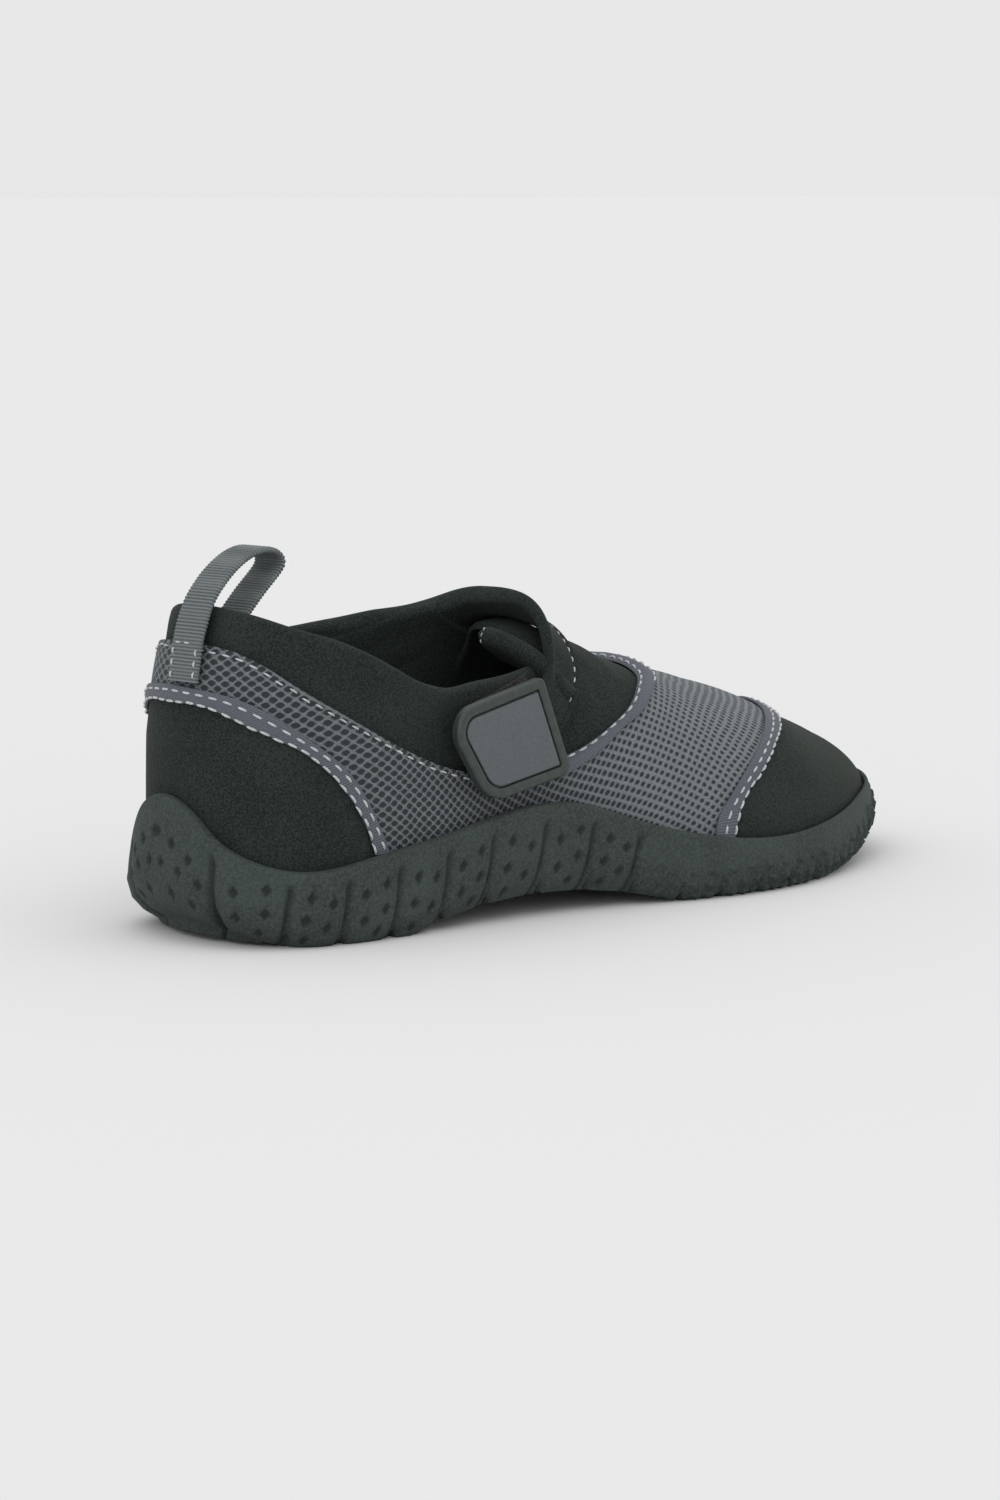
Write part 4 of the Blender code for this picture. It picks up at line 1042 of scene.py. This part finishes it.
def tread_between(left, right):
    """Underside between the sides' lowest rows, with lugs, channels and a fine relief, and the painted shade
    in its channels.
    """
    blends = np.linspace(0, 1, TREAD_COLUMNS)
    tread = left[:, None] * (1 - blends)[None, :, None] + right[:, None] * blends[None, :, None]
    width = np.linalg.norm(right - left, axis=-1)[:, None]
    place = tread[..., 0] / SOLE_LENGTH
    aside = np.abs(blends[None, :, None] - np.array(LONG_CHANNELS)) * width[..., None]
    cut = np.maximum(cross_cut(place), cut_by(aside).max(-1) * np.clip(width / 0.03, 0, 1))
    waves = np.cos(tread[..., :2] * 2 * np.pi / TREAD_FINE_PITCH).prod(-1)
    relief = np.where(cut > 0.01, LUG_DEPTH * cut, TREAD_FINE_DEPTH * np.clip(waves, 0, 1))
    edge = np.clip(np.minimum(blends, 1 - blends) * width / 0.001, 0, 1)
    tread[..., 2] = between(tread[..., 2], bottom_height(np.clip(place, 0, 1)) + relief, edge)
    # Painted shade in the channels between the lugs.
    return tread, RECESS_PAINTED_SHADE * cut * edge


def make_sole():
    """Sole with its grooves, dimples, bumps and lugged tread in relief."""
    near = np.linspace(0, np.pi, SOLE_COLUMNS)
    outer, inner = (sole_side(side, near) for side in (-1, 1))
    bed = np.stack([between(outer[0][:, -1], inner[0][:, -1], t) for t in (0, 0.5, 1)], 1)
    tread = tread_between(outer[0][:, 0], inner[0][:, 0])
    points = []
    shades = []
    faces = []
    # Points with their painted shade, block by block.
    for block, painted_shade_and_hole_size in (outer, inner, tread, (bed, np.zeros(bed.shape[:2]))):
        first = len(points)
        points.extend(block.reshape(-1, 3))
        shades.extend(painted_shade_and_hole_size.ravel())
        faces.extend(tuple(first + corner for corner in face) for face in grid_faces(*block.shape[:2]))
    thing = mesh_object("sole_detail", points, faces, foam_look(), shade=shades, smooth=60)
    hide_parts("sole")


def make_quarter(look, lining):
    """Rear half of the neoprene shell, with a thick rolled collar edge."""
    turns = round_heel(np.concatenate([np.linspace(0, 0.02, 10), np.linspace(0.025, QUARTER_END, 90)]))
    share = share_of(turns)
    held = np.sign(turns) * np.minimum(np.abs(turns), turn_of(THROAT_SHARE))
    line = collar_lift(held) - INNER_COLLAR_DROP * ramp(share, 0.20, 0.28) * (turns > 0)
    sunk = 0.0002 * ramp(share, 0.410, 0.425)
    size = length_per_lift(turns, line)
    radius = (SHELL_WALL + COLLAR_ROLL) / 2
    middle_out = -SHELL_RECESS - SHELL_WALL / 2
    low = 0.01
    top = line - radius / size

    def climbs(blends):
        for blend in blends:
            lift = low + (top - low) * blend
            yield lift, COLLAR_ROLL / 2 * ramp((lift - top) * size, -0.008, 0.0)

    rows = [skin(turns, lift, -SHELL_RECESS + swell - sunk) for lift, swell in climbs(np.linspace(0, 1, 30))]
    for angle in np.linspace(0, np.pi, 12)[1:-1]:
        out = middle_out + radius * np.cos(angle) - sunk
        rows.append(skin(turns, top + radius / size * np.sin(angle), out))
    first_inside = len(rows) + 3
    for lift, swell in climbs(np.linspace(1, 0, 20)):
        rows.append(skin(turns, lift, -SHELL_RECESS - SHELL_WALL - swell))
    points = np.stack(rows, 1)
    thing = mesh_object("upper_quarter", points, grid_faces(*points.shape[:2]), look)
    thing.data.materials.append(lining)
    for face in thing.data.polygons:
        face.material_index = int(face.index % (points.shape[1] - 1) > first_inside)
    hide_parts("upper")


def make_vamp(look, lining):
    """Front of the shell from the throat to the toe, with a rounded throat edge."""
    shares = np.concatenate([np.linspace(1, 0.70, 16), np.linspace(0.69, VAMP_START, 50)])
    lifts = np.linspace(0.03, 1.97, 90)
    radius = SHELL_WALL / 2
    lines = [(share, 0.0) for share in shares]
    lines += [(VAMP_START - radius / SOLE_LENGTH * np.sin(angle), radius * np.cos(angle) - radius)
              for angle in np.linspace(0, np.pi, 8)[1:-1]]
    lines += [(share, -SHELL_WALL) for share in shares[::-1]]
    rows = []
    for share, out in lines:
        turn = np.full(len(lifts), -turn_of(share))
        rows.append(skin(turn, lifts, out - SHELL_RECESS - throat_sag(turn, lifts)))
    points = np.stack(rows, 0)
    thing = mesh_object("upper_vamp", points, grid_faces(*points.shape[:2]), look)
    thing.data.materials.append(lining)


def fabric_uv(turns, lifts):
    """Fabric coordinates in millimetres: along the foot, and round it from a line that runs to the ridge."""
    along = lengths_along(skin(turns, np.full(len(turns), 0.45), 0.0))
    fine = np.linspace(0, 1, 101)
    grid = upper_point(turns[:, None], fine[None, :])
    steps = np.linalg.norm(np.diff(grid, axis=1), axis=-1)
    climbs = np.concatenate([np.zeros((len(turns), 1)), np.cumsum(steps, 1)], 1)
    level = lift_at_height(turns, FABRIC_LEVEL)
    to_level = np.array([np.interp(level[i], fine, climbs[i]) for i in range(len(turns))])
    shift = between(to_level, climbs[:, -1], ramp(share_of(turns), 0.28, 0.68))
    up = np.stack([np.interp(lifts[i], fine, climbs[i]) for i in range(len(turns))]) - shift[:, None]
    return np.stack([np.broadcast_to(along[:, None], up.shape), up], -1) * 1000


def lift_grid(turns, low, high, rows):
    """Turns and lifts of a grid between two lift curves."""
    low = np.minimum(low, high)
    lifts = np.stack([low + (high - low) * t for t in np.linspace(0, 1, rows)], 1)
    return np.broadcast_to(turns[:, None], lifts.shape), lifts


def panel(name, turns, low, high, rows, puff, look, node_name):
    """Sheet between two lift curves, puffed a little away from the seam at its upper edge."""
    grid_turns, lifts = lift_grid(turns, low, high, rows)
    from_high = (high[:, None] - lifts) * length_per_lift(grid_turns, lifts)
    points = skin(grid_turns, lifts, puff * ramp(from_high, 0.0015, 0.008))
    open_rear = np.broadcast_to(1 - ramp(share_of(turns), 0.36, 0.56)[:, None], lifts.shape)
    thing = sheet_of(name, points, look, fabric_uv(turns, lifts), open_rear)
    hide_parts(node_name)


def make_mesh_panel(look):
    """Mesh round the heel and both sides, closed over the toes between the two tapes."""
    seam = tape_middle(TOE_TAPE)
    shares = {*np.linspace(0, 0.03, 14), *np.linspace(0.034, seam[-1][0], 230)}
    shares |= {tape_middle(VAMP_TAPE)[-1][0], seam[0][0]}
    turns = round_heel(shares)
    share = share_of(turns)
    foot = panel_foot(turns)
    low = np.where(share > seam[0][0], np.maximum(np.interp(share, *zip(*seam)) + SEAM_LIFT, foot), foot)
    low = np.where(share < HEEL_TAPE_END + 1e-6, np.maximum(heel_seam(turns) + SEAM_LIFT, low), low)
    low = np.where(share > seam[-1][0] - 1e-4, 1.0, low)
    panel("mesh_fabric", turns, low, mesh_top(turns), 44, 0.0, look, "mesh_panel")


def make_heel_counter(look):
    """Counter under the heel tape, puffed a little below the seam."""
    turns = round_heel(np.concatenate([np.linspace(0, 0.03, 14), np.linspace(0.034, HEEL_TAPE_END, 60)]))
    high = heel_seam(turns) - SEAM_LIFT
    panel("heel_counter_skin", turns, panel_foot(turns), high, 30, COUNTER_PUFF, look,
          "heel_counter")


def make_toe_cap(look):
    """Toe cap in front of the toe tape."""
    seam = tape_middle(TOE_TAPE)
    shares = [*np.linspace(seam[0][0] + 1e-4, 0.97, 110), *np.linspace(0.973, 1.0, 12), seam[-1][0]]
    turns = round_toe(shares)
    share = share_of(turns)
    high = np.where(share > seam[-1][0] + 1e-4, 1.0, np.interp(share, *zip(*seam)) - SEAM_LIFT)
    points = skin(*lift_grid(turns, panel_foot(turns), high, 40), 0.0)
    thing = sheet_of("toe_cap_skin", points, look)
    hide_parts("toe_cap")


def foot_tape_place(table, drop, lead=()):
    """Function that gives places on a tape over the foot, (row, blend, height), and its number of rows."""
    whole = lead + table + tuple((a, 2 - b, c, 2 - d) for a, b, c, d in reversed(table[:-1]))

    def place(row, blend, height):
        rear_share, rear_lift, front_share, front_lift = columns_at(whole, row)
        turn = turn_of(between(rear_share, front_share, blend))
        floors = [lift_at_height(side * turn, rim_height(side * turn) + CLEARANCE) for side in (-1, 1)]
        lift = np.clip(between(rear_lift, front_lift, blend), floors[0], 2 - floors[1])
        step = drop * (1 - np.clip(blend / 0.4, 0, 1))
        tuck = TAPE_TUCK * (1 - ramp(len(whole) - 1 - row, 0.0, 0.45)) if lead else 0.0
        return skin(-turn, lift, TAPE_SEAT - step - tuck + height)
    return place, len(whole)


def heel_tape_place(row, blend, height):
    """Place on the heel tape: row 0 is the outer side's rim, the middle row is the heel's centre."""
    last = len(HEEL_TAPE) - 1
    table = [(turn_of(a), b, turn_of(c), d) for a, b, c, d in HEEL_TAPE]
    high_turn, high, low_turn, low = columns_at(table, last - np.abs(row - last))
    turn = np.maximum(between(high_turn, low_turn, blend), 0) * np.where(row <= last, -1, 1)
    tall = np.maximum(HEEL_COLLAR_HEIGHT * between(high, low, blend), rim_height(turn) + CLEARANCE)
    return skin(turn, lift_at_height(turn, tall), TAPE_SEAT + height)


def row_line(place, rows, blend, height, raised=None):
    """Line on a band with its normals, for stitches."""
    raised = height + 0.001 if raised is None else raised
    across = np.full(len(rows), blend)
    flat, over = (place(rows, across, np.full(len(rows), level)) for level in (height, raised))
    return flat, unit(over - flat)


def make_tapes(look, thread):
    """Three seam tapes with their rows of stitches."""
    section = band_section(0.0042, TAPE_THICKNESS, TAPE_CROWN)
    toe_place, toe_rows = foot_tape_place(TOE_TAPE, 0.0)
    vamp_place, vamp_rows = foot_tape_place(VAMP_TAPE, SHELL_RECESS, VAMP_LEAD)
    around = np.linspace(0, 2 * (len(HEEL_TAPE) - 1), 180)
    toe = np.linspace(0, toe_rows - 1, 200)
    vamp = np.linspace(0, vamp_rows - 1, 200)
    for name, node_name, rows, place in (("heel_tape_weave", "heel_tape", around, heel_tape_place),
                                         ("toe_tape_weave", "toe_tape", toe, toe_place),
                                         ("vamp_tape_weave", "vamp_tape", vamp, vamp_place)):
        tape = swept_band(name, rows, section, place, look)
        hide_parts(node_name)
    front = vamp[(vamp > VAMP_CORNER_ROW + 1) & (vamp < vamp_rows - 1 - VAMP_CORNER_ROW)]
    lines = [row_line(place, rows, blend, TAPE_THICKNESS)
             for place, rows, blend in ((heel_tape_place, around, 0.34), (toe_place, toe, 0.45),
                                        (vamp_place, vamp, 0.10), (vamp_place, front, 0.88))]
    heavy = [row_line(place, rows, 0.95, TAPE_THICKNESS * 0.8)
             for place, rows in ((heel_tape_place, around), (toe_place, toe))]
    made = stitches("seam_stitches", lines, thread)
    made = stitches("edge_stitches", heavy, thread)


def make_edge_stitches(thread):
    """Dashes along the mesh panel's upper edge."""
    lines = []
    for side in (-1, 1):
        turns = side * turn_of(np.linspace(0.002, 0.44, 160))
        lift = mesh_top(turns)
        lift = lift - 0.0012 / length_per_lift(turns, lift)
        flat = skin(turns, lift, 0.0)
        lines.append((flat, unit(skin(turns, lift, 0.001) - flat)))
    made = stitches("mesh_edge_stitches", lines, thread)


def strap_layers(row, blend):
    """Heights of the strap's under and upper face: thick round the inner collar, ending inside it."""
    under = -STRAP_INNER * ramp(row, 5.0, 8.0) * (1 - ramp(blend, 0.30, 0.75))
    under = under - STRAP_SEAT * ramp(blend, 0.30, 0.70)
    seam = STRAP_DIP * np.exp(-((blend - STRAP_SEAM) / 0.04) ** 2)
    roll = STRAP_ROLL * (1 - 0.6 * ramp(row, 5.5, 7.5)) * np.exp(-(blend / 0.20) ** 2)
    fade = ramp(row, 11.0, 14.0)
    over = STRAP_THICKNESS + roll - seam
    return between(under, -STRAP_END_UNDER, fade), between(over, -STRAP_END_OVER, fade)


def strap_place(row, blend, level):
    """Place on the strap: row counts the lines of its table, blend runs from its rear to its front edge."""
    rear_share, rear_lift, front_share, front_lift, rise, seat = columns_at(STRAP, row)
    share = between(rear_share, front_share, blend)
    over_vamp = CLEARANCE * 2 - SHELL_RECESS
    out = over_vamp + (STRAP_CLEARANCE - over_vamp) * np.clip(seat, 0, 1)
    out = out + STRAP_BULGE * np.clip(rise, 0, 1) * (1 - ramp(blend, 0.0, 1.0))
    under, upper = strap_layers(row, blend)
    lift = between(rear_lift, front_lift, blend)
    return skin(-turn_of(np.clip(share, 0, 1)), lift, out + under + (upper - under) * level)


def strap_section():
    """Section of the strap as (blend, level) rows, round at both edges."""
    across = [between(STRAP_EDGE, 0.97, t) for t in np.linspace(0, 1, 20)]
    rows = [(blend, 0.0) for blend in across]
    for angle in np.linspace(-np.pi / 2, np.pi / 2, 7)[1:-1]:
        rows.append((0.97 + 0.03 * np.cos(angle), (1 + np.sin(angle)) / 2))
    rows.extend((blend, 1.0) for blend in reversed(across))
    for angle in np.linspace(np.pi / 2, 3 * np.pi / 2, 13)[1:-1]:
        rows.append((STRAP_EDGE + STRAP_EDGE * np.cos(angle), (1 + np.sin(angle)) / 2))
    return rows


def make_strap(look, thread):
    """Instep strap with a rolled rear edge and a stitched front edge."""
    last = len(STRAP) - 1
    thing = swept_band("strap_skin", np.linspace(0, last, 190), strap_section(), strap_place, look)
    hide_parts("strap")
    lines = [row_line(strap_place, np.linspace(3.2, last - 3.5, 150), STRAP_SEAM, 1.0, 1.5)]
    made = stitches("strap_stitches", lines, thread)


def make_tongue(look, thread):
    """Tongue with a thick rolled lip, from the outer collar's corner into the opening and under the vamp."""
    lip = np.stack(columns_at(TONGUE_LIP, np.linspace(0, len(TONGUE_LIP) - 1, 60)), -1)
    ahead = unit(np.gradient(lip, axis=0))
    run = np.array(TONGUE_RUN)
    forward = unit(run - (ahead @ run)[:, None] * ahead)
    up = np.cross(forward, ahead)
    up *= np.sign(up[:, 2:])
    to_tip = lengths_along(lip)[-1] - lengths_along(lip)
    grow = np.sqrt(np.clip(1 - (1 - np.clip(to_tip / LIP_RADIUS, 0, 1)) ** 2, 0.0004, 1))[:, None]
    section = [(-np.cos(angle), np.sin(angle)) for angle in np.linspace(-np.pi / 2, np.pi / 2, 17)]
    far = TONGUE_REACH / LIP_RADIUS
    section.extend((t * far, 1 - 0.35 * t) for t in np.linspace(0.05, 1, 10))
    section.extend((t * far, -1 + 0.35 * t) for t in np.linspace(1, 0.05, 10))
    points = np.stack([lip + LIP_RADIUS * (u * forward + v * up * grow) * np.where(u < 0, grow, 1.0)
                       for u, v in section], 1)
    thing = mesh_object("tongue_skin", points, closed_grid(*points.shape[:2]), look, close=True)
    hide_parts("tongue")
    ring = -6
    normals = np.stack([-np.cos(t) * forward[ring] + np.sin(t) * up[ring]
                        for t in np.linspace(-1.2, 1.4, 24)])
    made = stitches("tongue_stitches", [(lip[ring] + LIP_RADIUS * normals, normals)], thread)


def rings_object(name, rings, look, node_name):
    """Badge piece lofted through rounded outlines of (inset, height over the badge's back)."""
    centre, along, up, out = badge_frame()
    flats = [rounded_outline(BADGE, inset, 14) for inset, height in rings]
    loops = [centre + flat[:, :1] * along + flat[:, 1:] * up + height * out
             for flat, (inset, height) in zip(flats, rings)]
    count = len(loops[0])
    faces = closed_grid(len(loops), count)
    faces.append(tuple(range(count)))
    faces.append(tuple(range((len(loops) - 1) * count, len(loops) * count)))
    thing = mesh_object(name, np.concatenate(loops), faces, look, np.concatenate(flats) * 1000, smooth=32)
    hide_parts(node_name)


def make_badge(rim_look, inlay_look):
    """Rubber tab with a round bevelled rim, a thin shadow groove and a bare inlay."""
    top = BADGE_THICKNESS
    bevel = BADGE_EDGE * 1.3
    fall = bevel * 0.8
    rings = [(BADGE_EDGE / 2, 0.0), (0.0, BADGE_EDGE / 2), (0.0, top - bevel)]
    for angle in np.linspace(0, np.pi / 2, 6)[1:]:
        rings.append((bevel * (1 - np.cos(angle)), top - bevel + bevel * np.sin(angle)))
    for angle in np.linspace(np.pi / 2, 0, 6)[:-1]:
        rings.append((BADGE_RIM - fall * (1 - np.cos(angle)), top - fall * (1 - np.sin(angle))))
    rings += [(BADGE_RIM, top - fall), (BADGE_RIM, top - BADGE_POCKET)]
    rings_object("badge_rim", rings, rim_look, "strap_badge")
    low = top - BADGE_POCKET + CLEARANCE
    inset = BADGE_RIM + CLEARANCE * 1.2
    rings = [(inset + BADGE_EDGE * a, low + BADGE_EDGE * b)
             for a, b in ((0, 0), (0, 0.6), (0.2, 0.88), (0.6, 1))]
    rings_object("badge_plate", rings, inlay_look, "badge_inlay")


def loop_place(row, blend, height):
    """Place on the pull loop: row counts the lines of its path."""
    out, tall = columns_at(LOOP_PATH, row)
    ahead = unit(np.stack([np.gradient(out), np.gradient(tall)], -1))
    ahead = ahead * (height - LOOP_THICKNESS / 2)[:, None]
    root = lift_at_height(LOOP_TURN, LOOP_ROOT_HEIGHT)
    normal = upper_normal(LOOP_TURN, root)
    outward = unit(normal * (1, 1, 0))
    sideways = np.array([-outward[1], outward[0], 0])
    foot = upper_point(LOOP_TURN, root) * (1, 1, 0)
    place = foot + (out + ahead[:, 1])[:, None] * outward + (tall - ahead[:, 0])[:, None] * (0, 0, 1)
    return place + sideways * ((blend - 0.5) * LOOP_WIDTH)[:, None]


def make_pull_loop(look, thread):
    """Ribbed webbing loop with its sewn foot."""
    half = LOOP_THICKNESS / 2
    rows = np.linspace(0, len(LOOP_PATH) - 1, 560)
    line = loop_place(rows, np.full(len(rows), 0.5), np.full(len(rows), half))
    wave = RIB_DEPTH * np.sin(lengths_along(line) * 2 * np.pi / RIB_PITCH)

    def ribbed(row, blend, height):
        grow = 1 + np.where(np.abs(height - half) > half / 2, wave / half, 0)
        edge = np.where((blend < 0.08) | (blend > 0.92), 1.5 / LOOP_WIDTH * wave * np.sign(blend - 0.5), 0)
        return loop_place(row, blend + edge, half + (height - half) * grow)

    def across(height):
        row = LOOP_SEAM_ROW + np.array([-0.01, 0, 0.01])
        return np.stack([loop_place(row, np.full(3, blend), np.full(3, height))[1]
                         for blend in np.linspace(0.1, 0.9, 20)])

    thing = swept_band("pull_loop_webbing", rows, band_section(LOOP_WIDTH, LOOP_THICKNESS), ribbed, look)
    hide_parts("pull_loop")
    lines = [row_line(loop_place, np.linspace(0.05, 1.9, 30), blend, LOOP_THICKNESS)
             for blend in (0.12, 0.88)]
    flat = across(LOOP_THICKNESS)
    lines.append((flat, unit(across(LOOP_THICKNESS + 0.001) - flat)))
    made = stitches("loop_stitches", lines, thread)


def make_stage():
    """Pale floor, even soft light and the camera at the photograph's angle."""
    scene = bpy.context.scene
    scene.view_settings.view_transform = "Standard"
    look, tree, shader = look_of("floor paper", 1.0, gloss=0.0)[:3]
    shader.inputs["Base Color"].default_value = (FLOOR_ALBEDO, FLOOR_ALBEDO, FLOOR_ALBEDO, 1)
    mesh = bpy.data.meshes.new("floor")
    corners = ((-1, -1, 0), (1, -1, 0), (1, 1, 0), (-1, 1, 0))
    mesh.from_pydata(np.multiply(corners, FLOOR_HALF).tolist(), [], [(0, 1, 2, 3)])
    mesh.materials.append(look)
    floor = bpy.data.objects.new("floor", mesh)
    scene.collection.objects.link(floor)
    world = bpy.data.worlds.new("studio")
    world.use_nodes = True
    scene.world = world
    tree = world.node_tree
    ground = tree.nodes["Background"]
    seen = tree.nodes.new("ShaderNodeBackground")
    for light, tone, strength in ((ground, 1.0, WORLD_LIGHT), (seen, BACKDROP, 1.0)):
        light.inputs["Color"].default_value = (tone, tone, tone, 1)
        light.inputs["Strength"].default_value = strength
    path = tree.nodes.new("ShaderNodeLightPath")
    pick = tree.nodes.new("ShaderNodeMixShader")
    for index, socket in enumerate((path.outputs["Is Camera Ray"], ground.outputs[0], seen.outputs[0])):
        tree.links.new(socket, pick.inputs[index])
    tree.links.new(pick.outputs[0], tree.nodes["World Output"].inputs[0])
    for name, strength, angle, direction in SUNS:
        lamp = bpy.data.lights.new(name, "SUN")
        lamp.energy = strength
        lamp.angle = np.radians(angle)
        thing = bpy.data.objects.new(name, lamp)
        thing.rotation_euler = Vector(direction).to_track_quat("Z", "Y").to_euler()
        scene.collection.objects.link(thing)
    lens = bpy.data.cameras.new("camera")
    lens.lens = CAMERA_LENS
    lens.sensor_width = 36
    camera = bpy.data.objects.new("camera", lens)
    camera.location = CAMERA_PLACE
    back = Vector(CAMERA_PLACE) - Vector(CAMERA_TARGET)
    camera.rotation_euler = back.to_track_quat("Z", "Y").to_euler()
    scene.collection.objects.link(camera)
    scene.camera = camera


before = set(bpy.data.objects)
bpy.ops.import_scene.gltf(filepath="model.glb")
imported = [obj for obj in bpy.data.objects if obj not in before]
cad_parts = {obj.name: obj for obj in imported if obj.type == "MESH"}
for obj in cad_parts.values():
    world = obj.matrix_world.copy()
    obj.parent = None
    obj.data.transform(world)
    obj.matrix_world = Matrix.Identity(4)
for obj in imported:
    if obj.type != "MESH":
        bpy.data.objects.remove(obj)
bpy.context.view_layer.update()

NEOPRENE = neoprene_look("neoprene jersey", (31, 37, 35), (50, 57, 54))
LINING = neoprene_look("lining jersey", (34, 40, 38), (52, 58, 56))
WEAVE = ribbed_look("seam tape", (74, 78, 86), (96, 100, 108), 0.0006, 0.00008)
WEB = ribbed_look("webbing", (74, 80, 82), (112, 118, 119), RIB_PITCH, 0.00007)
THREAD = plain_look("thread", (158, 163, 165), (200, 204, 205), 0.75, 2500, 0.00006, sheen=0.2)
RIM_RUBBER = plain_look("badge rubber", (46, 54, 50), (54, 63, 58), 0.48, 700, 0.00002, coat=0.10)
INLAY = plain_look("badge inlay", (80, 85, 88), (90, 95, 98), 0.62, 2600, 0.00006)
HOOK = plain_look("hook tape", (14, 16, 16), (60, 60, 58), 0.9, 1500, 0.0006)

make_sole()
make_quarter(NEOPRENE, LINING)
make_vamp(NEOPRENE, LINING)
make_mesh_panel(mesh_look())
make_heel_counter(NEOPRENE)
make_toe_cap(NEOPRENE)
make_tapes(WEAVE, THREAD)
make_edge_stitches(THREAD)
make_strap(NEOPRENE, THREAD)
make_tongue(NEOPRENE, THREAD)
make_badge(RIM_RUBBER, INLAY)
make_pull_loop(WEB, THREAD)
for name, look in (("insole", LINING), ("hook_strip", HOOK)):
    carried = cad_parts[name]
    carried.data.materials.clear()
    carried.data.materials.append(look)
make_stage()
